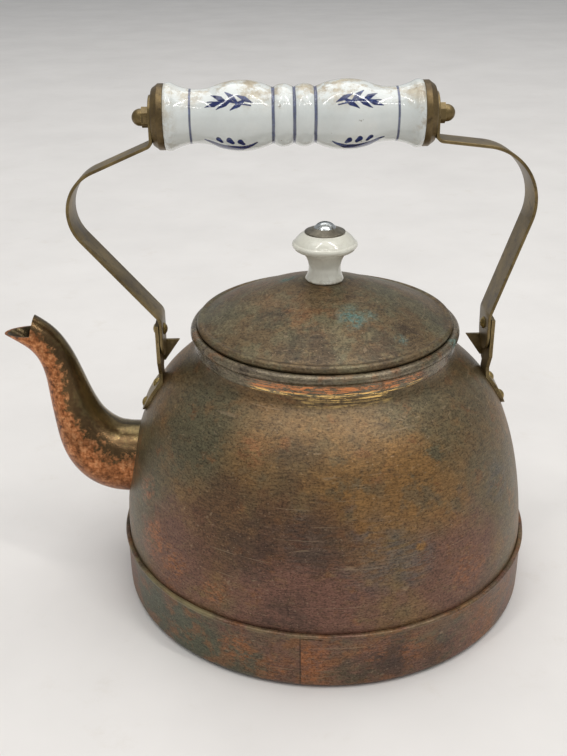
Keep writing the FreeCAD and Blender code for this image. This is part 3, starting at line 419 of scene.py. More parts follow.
class Paint:
    """The nodes of one material. Its methods return sockets."""

    def __init__(self, name):
        self.material = bpy.data.materials.new(name)
        self.material.use_nodes = True
        self.tree = self.material.node_tree
        self.shader = self.tree.nodes["Principled BSDF"]
        self.place = self.add("ShaderNodeTexCoord").outputs["Object"]

    def add(self, kind, **settings):
        """A new node."""
        made = self.tree.nodes.new(kind)
        for key, value in settings.items():
            setattr(made, key, value)
        return made

    def put(self, socket, value):
        """Links a socket to an input, or sets its value."""
        if isinstance(value, bpy.types.NodeSocket):
            self.tree.links.new(value, socket)
        else:
            socket.default_value = value

    def math(self, operation, first, second=0.0, clamp=False):
        """A sum on one or two values."""
        made = self.add("ShaderNodeMath", operation=operation, use_clamp=clamp)
        self.put(made.inputs[0], first)
        self.put(made.inputs[1], second)
        return made.outputs[0]

    def times(self, first, *others):
        """The product of several values."""
        for other in others:
            first = self.math("MULTIPLY", first, other)
        return first

    def largest(self, values):
        """The largest of several values."""
        top = values[0]
        for value in values[1:]:
            top = self.math("MAXIMUM", top, value)
        return top

    def swing(self, value, size):
        """A 0 to 1 value made to swing about zero."""
        return self.times(self.math("SUBTRACT", value, 0.5), size)

    def split(self, value):
        """The three parts of a vector."""
        made = self.add("ShaderNodeSeparateXYZ")
        self.put(made.inputs[0], value)
        return made.outputs

    def vector(self, operation, first, second):
        """A sum on two vectors."""
        made = self.add("ShaderNodeVectorMath", operation=operation)
        self.put(made.inputs[0], first)
        self.put(made.inputs[1], second)
        return made.outputs["Value" if operation in ("DISTANCE", "DOT_PRODUCT") else "Vector"]

    def noise(self, scale, detail, rough, stretch=(1, 1, 1), shift=0.0):
        """A cloudy 0 to 1 pattern."""
        place = self.place
        if stretch != (1, 1, 1) or shift:
            place = self.vector("ADD", self.vector("MULTIPLY", place, stretch), (shift, shift, shift))
        made = self.add("ShaderNodeTexNoise")
        self.put(made.inputs["Vector"], place)
        self.put(made.inputs["Scale"], scale)
        self.put(made.inputs["Detail"], detail)
        self.put(made.inputs["Roughness"], rough)
        return made.outputs[0]

    def step(self, value, low, high):
        """0 below low, 1 above high, eased between; low may be the larger one."""
        made = self.add("ShaderNodeMapRange", interpolation_type="SMOOTHSTEP")
        self.put(made.inputs["Value"], value)
        flip = low > high
        limits = (min(low, high), max(low, high), float(flip), float(not flip))
        for name, number in zip(("From Min", "From Max", "To Min", "To Max"), limits):
            self.put(made.inputs[name], number)
        return made.outputs[0]

    def scaled(self, value, low, high):
        """A 0 to 1 value spread from low to high."""
        return self.math("ADD", self.times(value, high - low), low)

    def mix(self, share, first, second, blend="MIX"):
        """Two colours mixed by a share."""
        made = self.add("ShaderNodeMix", data_type="RGBA", blend_type=blend)
        for place, value in ((0, share), (6, first), (7, second)):
            self.put(made.inputs[place], value)
        return made.outputs[2]

    def ramp(self, value, *stops):
        """A colour read from stops, each a place and a colour."""
        made = self.add("ShaderNodeValToRGB")
        ends = made.color_ramp.elements
        while len(ends) < len(stops):
            ends.new(0.5)
        for end, (place, colour) in zip(ends, stops):
            end.position = place
            end.color = colour
        self.put(made.inputs[0], value)
        return made.outputs[0]

    def near(self, *spots):
        """Soft patches round points given in millimetres, with their radius and strength, torn by noise."""
        torn = self.swing(self.noise(130, 5, 0.6, shift=3.1), 1.1)
        patches = []
        for x, y, z, radius, strength in spots:
            away = self.vector("DISTANCE", self.place, (x * MM, y * MM, z * MM))
            ragged = self.math("ADD", self.math("DIVIDE", away, radius * MM), torn)
            patches.append(self.times(self.step(ragged, 1.0, 0.35), strength))
        return self.largest(patches)

    def bumps(self, *layers):
        """Stacked bumps: height, depth in millimetres."""
        normal = None
        for height, depth in layers:
            made = self.add("ShaderNodeBump")
            self.put(made.inputs["Height"], height)
            self.put(made.inputs["Strength"], 1.0)
            self.put(made.inputs["Distance"], depth * MM)
            if normal:
                self.put(made.inputs["Normal"], normal)
            normal = made.outputs[0]
        return normal

    def edges(self, radius):
        """1 along the edges of a piece, for wear and a painted edge highlight."""
        bevel = self.add("ShaderNodeBevel", samples=6)
        self.put(bevel.inputs["Radius"], radius * MM)
        plain = self.add("ShaderNodeNewGeometry").outputs["Normal"]
        return self.step(self.vector("DOT_PRODUCT", bevel.outputs[0], plain), 0.995, 0.85)

    def done(self, colour, rough, metal, normal, **constants):
        """The finished material."""
        looks = {"Base Color": colour, "Roughness": rough, "Metallic": metal, "Normal": normal}
        for name, value in looks.items():
            self.put(self.shader.inputs[name], value)
        for name, value in constants.items():
            self.shader.inputs[name.replace("_", " ")].default_value = value
        return self.material


LAYER_EDGE = 0.055  # half the width over which a layer of patina fades in its pattern


def patina(paint, colour, layers):
    """Stacked layers of patina. Each is a colour, a pattern (scale, stretch in height, shift), the
    share of the pattern that it covers, its strength, and the places where it gathers."""
    for shade, (scale, stretch, shift), cover, strength, places in layers:
        pattern = paint.noise(scale, 7, 0.68, stretch=(1, 1, stretch), shift=shift)
        share = paint.step(pattern, 1 - cover - LAYER_EDGE, 1 - cover + LAYER_EDGE)
        share = paint.times(share, strength)
        if places:
            share = paint.times(share, paint.near(*places))
        colour = paint.mix(share, colour, shade)
    return colour


def seam_wear_and_shadow(paint, seam, fade):
    """The bare copper beside the lapped seam, and a dark line along the seam's edge as painted shadow."""
    across, deep, height = paint.split(paint.place)
    front = paint.step(deep, -70 * MM, -80 * MM)
    beside = paint.times(
        paint.step(across, seam * MM, (seam + 0.4) * MM),
        paint.step(across, fade * MM, (seam + 4) * MM),
        front,
        paint.step(height, 22.5 * MM, 20 * MM),
    )
    edge = paint.math("ABSOLUTE", paint.math("SUBTRACT", across, seam * MM))
    return beside, paint.times(paint.step(edge, 0.5 * MM, 0.1 * MM), front)


def scratches(paint):
    """Fine lines in three directions."""
    lines = []
    for scale, stretch, shift, share in (
        (30, (1.0, 1.0, 40.0), 21.0, 0.69),
        (42, (9.0, 3.0, 20.0), 27.0, 0.70),
        (36, (2.0, 14.0, 9.0), 33.0, 0.70),
    ):
        line = paint.noise(scale, 2, 0.5, stretch=stretch, shift=shift)
        lines.append(paint.step(line, share, share + 0.04))
    return paint.largest(lines)


def neck_polish_and_glints(paint, places):
    """Rubbed streaks round the neck, with painted glints, and their colour."""
    height = paint.split(paint.place)[2]
    streaks = paint.step(paint.noise(70, 4, 0.7, stretch=(1, 1, 26), shift=3.0), 0.46, 0.53)
    blots = paint.step(paint.noise(230, 6, 0.78, stretch=(1, 1, 3), shift=8.0), 0.43, 0.53)
    # The rubbed streaks carry painted glints
    polish_and_glint = paint.times(
        paint.near(*places),
        paint.times(streaks, blots),
        paint.step(height, 112.8 * MM, 111.8 * MM),
        paint.step(height, 103.0 * MM, 105.6 * MM),
    )
    # Gold low down: partly solder at the joint, partly a painted glint
    solder_and_glint = paint.step(height, 109.6 * MM, 108.8 * MM)
    return polish_and_glint, paint.mix(solder_and_glint, tint(208, 136, 88), tint(250, 208, 130))


def aged_copper(name, base, layers, bare=(), green=(), rubbed_glint_places=(), scour=0.70, hem_sheen_levels=(), lap=(), gloss=1.0):
    """Patina over copper. Bare, green and the polished places are those of bare copper, verdigris and
    rubbed metal with painted glints, the hem's two levels are those between which a painted highlight along
    the hem, partly tarnish, comes in, and lap is where the seam is and where the bare copper beside it
    ends."""
    paint = Paint(name)
    cloud = paint.noise(48, 6, 0.62)
    broad = paint.noise(15, 3, 0.5, shift=1.7)
    speck = paint.noise(1050, 4, 0.7, stretch=(1, 1, 1.7))
    pits = paint.noise(620, 5, 0.72, shift=9.0)
    colour = patina(paint, paint.mix(paint.step(cloud, 0.36, 0.64), *base), layers)
    worn = paint.step(paint.noise(210, 7, 0.76, shift=14.0), scour, scour + 0.08)
    worn = paint.times(worn, 0.5)
    torn = paint.step(paint.noise(330, 6, 0.78, stretch=(1, 1, 2.2)), 0.46, 0.56)
    if bare:
        worn = paint.math("MAXIMUM", worn, paint.times(paint.near(*bare), torn))
    if lap:
        beside, edge = seam_wear_and_shadow(paint, *lap)
        worn = paint.math("MAXIMUM", worn, paint.times(beside, paint.scaled(torn, 0.25, 1.0)))
    colour = paint.mix(worn, colour, tint(178, 122, 88))
    if lap:
        # Painted shadow: a dark line along the edge of the lapped seam
        colour = paint.mix(paint.times(edge, 0.6), colour, tint(52, 40, 32))
    grain = paint.ramp(
        speck, (0.36, tint(156, 150, 144)), (0.5, tint(234, 231, 226)), (0.62, tint(255, 253, 248))
    )
    colour = paint.mix(0.95, colour, grain, "MULTIPLY")
    brushed = paint.noise(260, 6, 0.74, stretch=(1, 1, 5), shift=23.0)
    brushed = paint.ramp(brushed, (0.38, tint(186, 182, 178)), (0.60, tint(255, 254, 250)))
    colour = paint.mix(0.8, colour, brushed, "MULTIPLY")
    pitted = paint.times(paint.step(pits, 0.62, 0.68), 0.4)
    colour = paint.mix(pitted, colour, tint(54, 46, 38))
    flecks = paint.noise(760, 5, 0.76, stretch=(1, 1, 1.6), shift=19.0)
    flecks = paint.times(paint.step(flecks, 0.61, 0.68), 0.5)
    colour = paint.mix(flecks, colour, tint(188, 164, 132))
    lines = scratches(paint)
    colour = paint.mix(paint.times(lines, 0.24), colour, tint(186, 162, 130))
    rough = paint.scaled(cloud, 0.32 * gloss, 0.52 * gloss)
    rough = paint.math("ADD", rough, paint.times(worn, -0.12 * gloss))
    metal = paint.scaled(worn, 0.45, 0.9)
    # A lighter line painted along the top of the hem, stronger on the left: a painted highlight on the
    # up-facing ledge, partly tarnish
    if hem_sheen_levels:
        low, high = hem_sheen_levels
        across, _, height = paint.split(paint.place)
        toned_share = paint.times(
            paint.step(height, low * MM, high * MM),
            paint.step(cloud, 0.40, 0.60),
            paint.scaled(paint.step(across, -10 * MM, -40 * MM), 0.3, 0.8),
        )
        colour = paint.mix(toned_share, colour, tint(142, 130, 94))
    # Rubbed metal round the neck, with painted glints
    if rubbed_glint_places:
        polish_and_glint, rubbed_and_highlight = neck_polish_and_glints(paint, rubbed_glint_places)
        colour = paint.mix(polish_and_glint, colour, rubbed_and_highlight)
        rough = paint.times(rough, paint.scaled(polish_and_glint, 1.0, 0.4))
        metal = paint.math("MAXIMUM", metal, polish_and_glint)
    if green:
        crust = paint.step(paint.noise(420, 6, 0.75, shift=6.0), 0.42, 0.56)
        crust = paint.times(paint.near(*green), crust)
        verdigris = paint.ramp(speck, (0.38, tint(64, 94, 88)), (0.64, tint(104, 142, 134)))
        colour = paint.mix(paint.times(crust, 0.82), colour, verdigris)
        rough = paint.math("MAXIMUM", rough, paint.times(crust, 0.85))
        metal = paint.times(metal, paint.math("SUBTRACT", 1.0, crust))
    swell = paint.noise(42, 2, 0.4, shift=4.0)
    normal = paint.bumps(
        (broad, 1.6), (swell, 0.5), (cloud, 0.2), (pits, 0.12), (speck, 0.05), (lines, -0.02)
    )
    return paint.done(colour, rough, metal, normal)


OLIVE, PLUM, SLATE = tint(112, 108, 84), tint(136, 98, 84), tint(112, 110, 107)
OCHRE, RUST, SOOT, UMBER = tint(168, 126, 74), tint(158, 108, 68), tint(72, 61, 54), tint(132, 104, 72)
dome_copper = aged_copper(
    "dome_copper", (tint(134, 114, 84), tint(154, 122, 82)),
    (
        (OLIVE, (22, 1, 2.0), 0.46, 0.5, ()),
        (OLIVE, (60, 1.5, 41.0), 0.60, 0.85, (
            (-76, -30, 62, 36, 1.0), (-50, -46, 92, 30, 1.0), (72, -40, 62, 34, 0.8),
            (37, -51, 97, 26, 0.8), (60, 45, 80, 44, 0.9),
        )),
        (PLUM, (45, 3, 5.3), 0.64, 1.0, (
            (-13, -84, 38, 46, 1.0), (-60, -58, 42, 32, 0.9), (48, -70, 42, 34, 0.9),
            (40, 70, 45, 48, 1.0), (-30, 78, 40, 44, 0.9),
        )),
        (SLATE, (100, 5, 31.0), 0.54, 0.75, (
            (-10, -79, 64, 16, 1.0), (14, -80, 60, 22, 0.9), (28, -78, 52, 14, 0.8),
            (-40, 66, 62, 26, 0.9), (64, -44, 66, 12, 0.8),
        )),
        (OCHRE, (75, 1.2, 8.0), 0.56, 0.85, (
            (6, -73, 81, 24, 0.9), (-28, -62, 90, 20, 0.5), (26, -69, 82, 26, 1.0),
            (0, 75, 75, 26, 0.8), (40, -64, 72, 18, 0.8), (10, -80, 62, 14, 0.6),
        )),
        (OCHRE, (260, 1, 3.0), 0.60, 1.0, (
            (9, -79, 68, 3.4, 1.0), (32, -76, 57, 3, 1.0), (3.5, -75, 79, 3, 1.0),
        )),
        (RUST, (95, 1.4, 12.0), 0.38, 0.6, ()),
        (UMBER, (140, 2.2, 17.0), 0.42, 0.35, ()),
        (tint(112, 80, 58), (70, 2, 18.0), 0.60, 0.65, (
            (-40, -68, 64, 24, 1.0), (-22, -76, 66, 20, 1.0), (-6, -80, 64, 20, 0.9),
            (-46, -70, 52, 16, 0.8), (50, 62, 60, 26, 0.9),
        )),
        (SOOT, (80, 2, 11.0), 0.34, 0.45, ()),
        (SOOT, (170, 2.6, 25.0), 0.33, 0.3, ()),
        (SOOT, (120, 1.5, 2.0), 0.55, 0.55, (
            (-31, -75, 58, 18, 0.8), (-8, -80, 62, 14, 0.7), (-14, -66, 89, 14, 0.7),
            (-20, -86, 30, 16, 0.8), (70, 40, 50, 18, 0.8),
        )),
    ),
    bare=(
        (-72, -48, 44, 13, 0.9), (-76, -38, 60, 10, 0.8), (-64, -57, 38, 12, 0.9), (-46, -72, 36, 9, 0.7),
        (52, -67, 40, 12, 0.6), (-30, -62, 92, 9, 0.5), (-82, 22, 42, 12, 0.7), (30, 80, 35, 14, 0.6),
    ),
    # Painted glints and rubbed metal on the dome's fillet under the neck
    rubbed_glint_places=((3, -54, 105, 10, 1.0), (15, -52, 105, 9, 1.0), (-9, -54, 105, 8, 0.7)),
)
band_copper = aged_copper(
    "band_copper", (tint(122, 104, 86), tint(144, 112, 86)),
    (
        (PLUM, (40, 2, 5.0), 0.52, 0.75, ()),
        (tint(98, 106, 86), (50, 1.5, 41.0), 0.66, 0.9, (
            (-57, -66, 11, 26, 1.0), (-72, -48, 12, 24, 1.0), (-36, -80, 6, 16, 0.8),
            (-40, 77, 12, 44, 0.9),
        )),
        (OLIVE, (60, 1.5, 13.0), 0.42, 0.65, ()),
        (RUST, (90, 1.4, 12.0), 0.46, 0.65, ()),
        (SOOT, (110, 1.2, 2.0), 0.54, 0.7, (
            (22, -84, 12, 13, 1.0), (8, -87, 9, 10, 0.8), (40, -77, 10, 12, 0.7), (80, 30, 12, 24, 0.9),
        )),
        (SOOT, (85, 2, 11.0), 0.36, 0.5, ()),
    ),
    bare=(
        (-38, -78, 15, 10, 0.8), (-24, -84, 8, 9, 0.6), (14, -86, 17, 8, 0.6), (30, -82, 14, 8, 0.6),
        (62, -60, 10, 16, 0.6), (10, 87, 12, 16, 0.7),
    ),
    scour=0.66,
    # Levels of the painted highlight along the hem
    hem_sheen_levels=(23.2, 24.4),
    lap=(-13.6, 3),
)
lid_copper = aged_copper(
    "lid_copper", (tint(130, 124, 98), tint(144, 132, 102)),
    (
        (OLIVE, (24, 1, 2.0), 0.50, 0.6, ()),
        (UMBER, (55, 1, 5.0), 0.50, 0.65, ()),
        (RUST, (80, 1, 8.0), 0.50, 0.55, (
            (-8, -22, 130, 20, 0.9), (14, -34, 127, 14, 0.8), (-26, -14, 129, 14, 0.7),
            (-25, 20, 129, 24, 0.9),
        )),
        (tint(150, 138, 108), (190, 1, 15.0), 0.42, 0.35, ()),
        (SOOT, (75, 1, 11.0), 0.36, 0.5, ()),
        (SOOT, (230, 1, 21.0), 0.40, 0.4, ()),
        (SOOT, (150, 1, 2.0), 0.55, 0.65, (
            (-24, -22, 128, 9, 0.8), (30, -30, 124, 10, 0.8), (-8, -42, 121, 16, 0.8),
            (18, -40, 121, 14, 0.8),
        )),
    ),
    green=(
        (9.3, -26.3, 128.7, 8.0, 1.0), (15.5, -24, 128, 4.5, 0.6), (-15, 7.3, 132.4, 5.0, 1.0),
        (27, -34, 122, 4, 0.6), (24, 26, 127, 6, 0.7),
    ),
    scour=0.72,
)
rim_copper = aged_copper(
    "rim_copper", (tint(134, 124, 106), tint(162, 148, 126)),
    (
        (OLIVE, (60, 1, 2.0), 0.45, 0.6, ()),
        (RUST, (90, 1, 12.0), 0.40, 0.6, ()),
        (SOOT, (110, 2, 11.0), 0.42, 0.6, ()),
    ),
    green=((50, -23, 115, 5, 0.8), (-48, 24, 114, 5, 0.7)),
    gloss=0.62,
    # Rubbed neck under the bead, with painted glints
    rubbed_glint_places=(
        (-26, -47, 110, 12, 0.9), (-13, -52, 110, 16, 1.0), (4, -53, 110, 17, 1.0), (18, -50, 110, 15, 1.0),
        (28, -45, 110, 10, 0.8), (16, 51, 110, 24, 0.8),
    ),
)


def spout_paint():
    """Olive bronze along the top, scoured copper along the belly brightened as a painted reflection of the
    pale floor, dark specks where they meet, and painted shade inside.
    """
    paint = Paint("spout_copper")
    belly = paint.add("ShaderNodeAttribute", attribute_name="belly").outputs["Fac"]
    cloud = paint.noise(70, 6, 0.65)
    speck = paint.noise(430, 6, 0.72, shift=2.0)
    fine = paint.noise(900, 3, 0.6)
    top = paint.ramp(
        cloud, (0.32, tint(116, 102, 70)), (0.5, tint(134, 117, 80)), (0.68, tint(150, 130, 90))
    )
    # The belly's bright copper: scoured metal, made lighter as a painted reflection of the pale floor
    scoured_and_reflection = paint.ramp(
        speck, (0.36, tint(100, 62, 40)), (0.5, tint(190, 122, 78)), (0.66, tint(234, 170, 120))
    )
    line = paint.math("ADD", belly, paint.swing(speck, 1.5))
    line = paint.math("ADD", line, paint.swing(cloud, 1.1))
    height = paint.split(paint.place)[2]
    # The bright belly with its painted reflection reaches higher near the root and on the upper stem
    root = paint.times(paint.step(height, 85 * MM, 62 * MM), 0.45)
    crest = paint.times(paint.step(height, 84 * MM, 104 * MM), 0.4)
    line = paint.math("ADD", line, paint.math("ADD", root, crest))
    share = paint.step(line, -0.10, 0.22)
    colour = paint.mix(share, top, scoured_and_reflection)
    seam = paint.times(paint.step(line, -0.75, -0.25), paint.step(line, 0.2, -0.1))
    colour = paint.mix(paint.times(seam, 0.7), colour, tint(94, 66, 44))
    sooty = paint.step(paint.noise(330, 6, 0.76, shift=8.0), 0.56, 0.66)
    sooty = paint.math("MAXIMUM", sooty, paint.step(paint.noise(120, 7, 0.76, shift=28.0), 0.55, 0.66))
    sooty = paint.times(sooty, paint.scaled(share, 0.25, 0.75))
    colour = paint.mix(sooty, colour, tint(66, 46, 34))
    # Patches of tarnish on the spout
    toned_share = paint.step(paint.noise(42, 6, 0.66, shift=16.0), 0.48, 0.60)
    toned_share = paint.times(toned_share, paint.scaled(share, 0.2, 0.38))
    colour = paint.mix(toned_share, colour, tint(104, 74, 50))
    # Painted shade inside the spout
    inner = paint.step(belly, -0.995, -1.0)
    colour = paint.mix(paint.times(inner, 0.6), colour, tint(58, 52, 42))
    grain = paint.ramp(fine, (0.34, tint(156, 150, 144)), (0.66, tint(255, 252, 246)))
    colour = paint.mix(0.5, colour, grain, "MULTIPLY")
    rough = paint.math("ADD", paint.scaled(share, 0.19, 0.32), paint.times(cloud, 0.1))
    normal = paint.bumps((paint.noise(34, 2, 0.4), 0.8), (cloud, 0.1), (speck, 0.04))
    return paint.done(colour, rough, paint.scaled(share, 0.85, 0.95), normal)


def aged_brass(name, deep, middle, light, rough_low=0.28, rough_high=0.5):
    """Khaki brass with dark spots, handling marks and edges brighter, partly rubbed and partly a painted
    highlight.
    """
    paint = Paint(name)
    cloud = paint.noise(85, 6, 0.65)
    spot = paint.noise(240, 5, 0.7, shift=7.0)
    fine = paint.noise(950, 3, 0.6)
    line = paint.noise(60, 2, 0.5, stretch=(5, 22, 5), shift=12.0)
    colour = paint.ramp(cloud, (0.32, deep), (0.5, middle), (0.68, light))
    spotted = paint.times(paint.step(spot, 0.55, 0.68), 0.75)
    colour = paint.mix(spotted, colour, tint(66, 52, 34))
    # Edges made brighter: partly rubbed brass, partly a painted edge highlight
    rubbed_and_highlight = paint.times(paint.edges(0.5), paint.step(spot, 0.35, 0.6))
    colour = paint.mix(paint.times(rubbed_and_highlight, 0.6), colour, tint(196, 172, 112))
    grain = paint.ramp(fine, (0.3, tint(165, 160, 150)), (0.7, tint(255, 252, 244)))
    colour = paint.mix(0.45, colour, grain, "MULTIPLY")
    marks = paint.step(line, 0.66, 0.74)
    colour = paint.mix(paint.times(marks, 0.3), colour, light)
    rough = paint.scaled(cloud, rough_low, rough_high)
    rough = paint.math("ADD", rough, paint.times(rubbed_and_highlight, -0.08))
    normal = paint.bumps((cloud, 0.16), (spot, 0.05), (fine, 0.012), (marks, -0.012))
    return paint.done(colour, rough, 0.58, normal)


brass = aged_brass("aged_brass", tint(94, 78, 48), tint(124, 106, 68), tint(150, 130, 90))
cap_brass = aged_brass("cap_brass", tint(84, 68, 44), tint(108, 90, 58), tint(128, 108, 70))
rivet_brass = aged_brass(
    "rivet_brass", tint(128, 108, 62), tint(168, 146, 90), tint(190, 168, 108), 0.2, 0.36
)

GLAZE_RADIUS, BARREL = 11.0, 24  # the grip's mean radius, and the middle of each barrel


def porcelain_grip():
    """White glaze with grime on top, blue lines in the grooves and a sprig and a leaf on each barrel."""
    paint = Paint("grip_glaze")
    middle = (GRIP_X * MM, GRIP_Y * MM, GRIP_Z * MM)
    length, deep, height = paint.split(paint.vector("SUBTRACT", paint.place, middle))
    along = paint.times(length, 1 / MM)
    angle = paint.math("ARCTAN2", height, paint.times(deep, -1.0))
    arc_length = paint.times(angle, GLAZE_RADIUS)
    side = paint.math("ABSOLUTE", along)
    waver = paint.swing(paint.noise(160, 2, 0.5), 1.0)
    flat = paint.add("ShaderNodeCombineXYZ")
    paint.put(flat.inputs[0], paint.math("ADD", side, waver))
    paint.put(flat.inputs[1], paint.math("ADD", arc_length, waver))
    flat = flat.outputs[0]
    dabs = paint.noise(700, 3, 0.6)

    def stroke(start, finish, thin, thick):
        """Distance in millimetres inside a tapered brush stroke."""
        run = Vector((*finish, 0)) - Vector((*start, 0))
        offset = paint.vector("SUBTRACT", flat, (*start, 0))
        ahead = paint.vector("DOT_PRODUCT", offset, tuple(run))
        share = paint.math("DIVIDE", ahead, run.length_squared, clamp=True)
        scaled = paint.add("ShaderNodeVectorMath", operation="SCALE")
        scaled.inputs[0].default_value = tuple(run)
        paint.put(scaled.inputs["Scale"], share)
        away = paint.vector("DISTANCE", offset, scaled.outputs[0])
        return paint.math("SUBTRACT", paint.scaled(share, thin, thick), away)

    sprig = [((-8.0, -1.8), (0.0, -0.2), 0.25, 0.4), ((0.0, -0.2), (8.0, 0.6), 0.4, 0.25)]
    for u, v, size, lean, width in (
        (-5.6, 0.5, 7.0, 24, 0.95), (-3.4, -1.2, 7.2, -30, 1.0), (-0.8, 1.3, 7.0, 42, 0.95),
        (1.5, -0.8, 7.6, -24, 1.05), (3.7, 1.4, 7.2, 34, 1.0), (5.8, -0.6, 6.6, -14, 0.95),
    ):
        du = size / 2 * math.cos(math.radians(lean))
        dv = size / 2 * math.sin(math.radians(lean))
        sprig.append(((u - du, v - dv), (u, v), 0.15, width))
        sprig.append(((u, v), (u + du, v + dv), width, 0.15))
    leaf = [
        ((-10.0, 2.4), (-4.2, -0.2), 0.3, 1.5), ((-4.2, -0.2), (3.8, -0.6), 1.5, 1.9),
        ((3.8, -0.6), (9.6, 1.8), 1.9, 0.3), ((-4.8, 2.5), (-3.7, 3.5), 0.7, 1.1),
        ((-0.8, 2.9), (0.4, 3.9), 0.8, 1.2), ((3.3, 2.6), (4.4, 3.6), 0.7, 1.1),
    ]
    strokes = []
    for level, flip, motif in ((6.8, 1, sprig), (-10.2, 1, leaf), (27.5, -1, sprig), (-24.3, -1, leaf)):
        for start, finish, thin, thick in motif:
            ends = [(BARREL + end[0], level + flip * end[1]) for end in (start, finish)]
            strokes.append(stroke(*ends, thin, thick))
    painted = paint.step(paint.largest(strokes), -0.12, 0.16)
    for place, width in ((0.2, 0.42), (7.9, 0.62), (38.9, 0.45)):
        away = paint.math("SUBTRACT", paint.math("ADD", side, paint.times(waver, 0.3)), place)
        ring = paint.math("SUBTRACT", width, paint.math("ABSOLUTE", away))
        ring = paint.times(paint.step(ring, -0.15, 0.2), 0.85)
        painted = paint.math("MAXIMUM", painted, ring)
    cloud = paint.noise(45, 4, 0.6)
    glaze = paint.ramp(
        cloud, (0.3, tint(214, 219, 216)), (0.55, tint(226, 230, 227)), (0.75, tint(234, 235, 229))
    )
    top = paint.step(height, 2.5 * MM, 10.5 * MM)
    film = paint.step(paint.noise(95, 7, 0.78, shift=3.0), 0.44, 0.60)
    grime = paint.times(film, paint.scaled(top, 0.05, 0.9))
    tips = paint.times(paint.step(side, 42.0, 48.5), paint.step(paint.noise(190, 5, 0.7), 0.42, 0.62))
    grime = paint.math("MAXIMUM", grime, paint.times(tips, 0.6))
    soil = paint.noise(260, 5, 0.7, shift=5.0)
    soil = paint.ramp(soil, (0.35, tint(150, 130, 96)), (0.65, tint(200, 188, 160)))
    colour = paint.mix(grime, glaze, soil)
    blue = paint.ramp(dabs, (0.3, tint(20, 30, 72)), (0.55, tint(32, 46, 100)), (0.8, tint(76, 98, 154)))
    colour = paint.mix(painted, colour, blue)
    specks = paint.step(paint.noise(420, 3, 0.6, shift=9.0), 0.70, 0.75)
    colour = paint.mix(paint.times(specks, 0.55), colour, tint(120, 100, 74))
    rough = paint.math("ADD", 0.07, paint.times(grime, 0.35))
    normal = paint.bumps((paint.noise(60, 3, 0.5), 0.28), (paint.noise(210, 3, 0.5), 0.03))
    return paint.done(colour, rough, 0.0, normal, Coat_Weight=0.6, Coat_Roughness=0.05)


def porcelain_knob():
    """Cream glaze with crazing, grime round the foot, and a darker band under the head."""
    paint = Paint("knob_glaze")
    cloud = paint.noise(90, 4, 0.6)
    height = paint.split(paint.place)[2]

    def between(low, high):
        """A step between two levels above the knob's seat, in millimetres."""
        return paint.step(height, (KNOB_SEAT + low) * MM, (KNOB_SEAT + high) * MM)

    foot = between(3.0, 0.0)
    # A darker band on the neck, just under the head
    neck = paint.times(between(9, 12.5), between(14.5, 12.8))
    dirt = paint.step(paint.noise(330, 6, 0.7), 0.42, 0.66)
    colour = paint.ramp(
        cloud, (0.3, tint(228, 225, 210)), (0.6, tint(238, 237, 224)), (0.8, tint(243, 242, 233))
    )
    soil = paint.math("ADD", paint.times(foot, 0.55), paint.times(neck, 0.22))
    soil = paint.times(dirt, paint.math("ADD", soil, 0.08))
    colour = paint.mix(soil, colour, tint(132, 112, 82))
    cells = paint.add("ShaderNodeTexVoronoi", feature="DISTANCE_TO_EDGE")
    paint.put(cells.inputs["Scale"], 330.0)
    paint.put(cells.inputs["Vector"], paint.vector("ADD", paint.place, (0.02, 0.05, 0.01)))
    crazing = paint.step(cells.outputs["Distance"], 0.035, 0.0)
    crazing = paint.times(crazing, paint.step(cloud, 0.4, 0.65), 0.22)
    colour = paint.mix(crazing, colour, tint(150, 132, 100))
    normal = paint.bumps((paint.noise(80, 3, 0.5), 0.2), (dirt, 0.01))
    rough = paint.scaled(dirt, 0.12, 0.2)
    return paint.done(colour, rough, 0.0, normal, Coat_Weight=0.5, Coat_Roughness=0.06)


def plated_steel(name, deep, light, rough_low, rough_high):
    """Zinc or chrome plate with dull spots and a fine grain."""
    paint = Paint(name)
    cloud = paint.noise(300, 5, 0.65)
    fine = paint.noise(1400, 3, 0.6)
    colour = paint.ramp(cloud, (0.35, deep), (0.65, light))
    grain = paint.ramp(fine, (0.3, tint(170, 168, 162)), (0.7, tint(255, 255, 252)))
    colour = paint.mix(0.4, colour, grain, "MULTIPLY")
    normal = paint.bumps((cloud, 0.04), (fine, 0.01))
    return paint.done(colour, paint.scaled(cloud, rough_low, rough_high), 0.95, normal)


washer_metal = plated_steel("washer_metal", tint(118, 112, 98), tint(156, 150, 136), 0.32, 0.5)
bright_steel = plated_steel("bright_steel", tint(188, 192, 194), tint(226, 230, 232), 0.12, 0.28)
plain_steel = plated_steel("plain_steel", tint(120, 116, 108), tint(160, 156, 148), 0.35, 0.55)

for made, paint in (
    (dome, dome_copper), (band, band_copper), (rim, rim_copper), (lid, lid_copper),
    (spout, spout_paint()), (knob, porcelain_knob()), (grip, porcelain_grip()),
):
    made.data.materials.append(paint)


# CAD nodes that stay get a finish, and some of them a bevel
WELD_GAP, BEVEL_ANGLE = 0.002, 40


def dress(node, paint, edge=0.0):
    """Gives a CAD node its finish and, where edge is set, a bevel of up to that many mm."""
    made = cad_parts[node]
    for slot in made.material_slots:
        slot.material = paint
    if not edge:
        return
    weld = made.modifiers.new("weld", "WELD")
    weld.merge_threshold = WELD_GAP * MM
    bevel = made.modifiers.new("edge", "BEVEL")
    bevel.width = edge * MM
    bevel.segments = 3
    bevel.limit_method = "ANGLE"
    bevel.angle_limit = math.radians(BEVEL_ANGLE)
    bevel.harden_normals = False


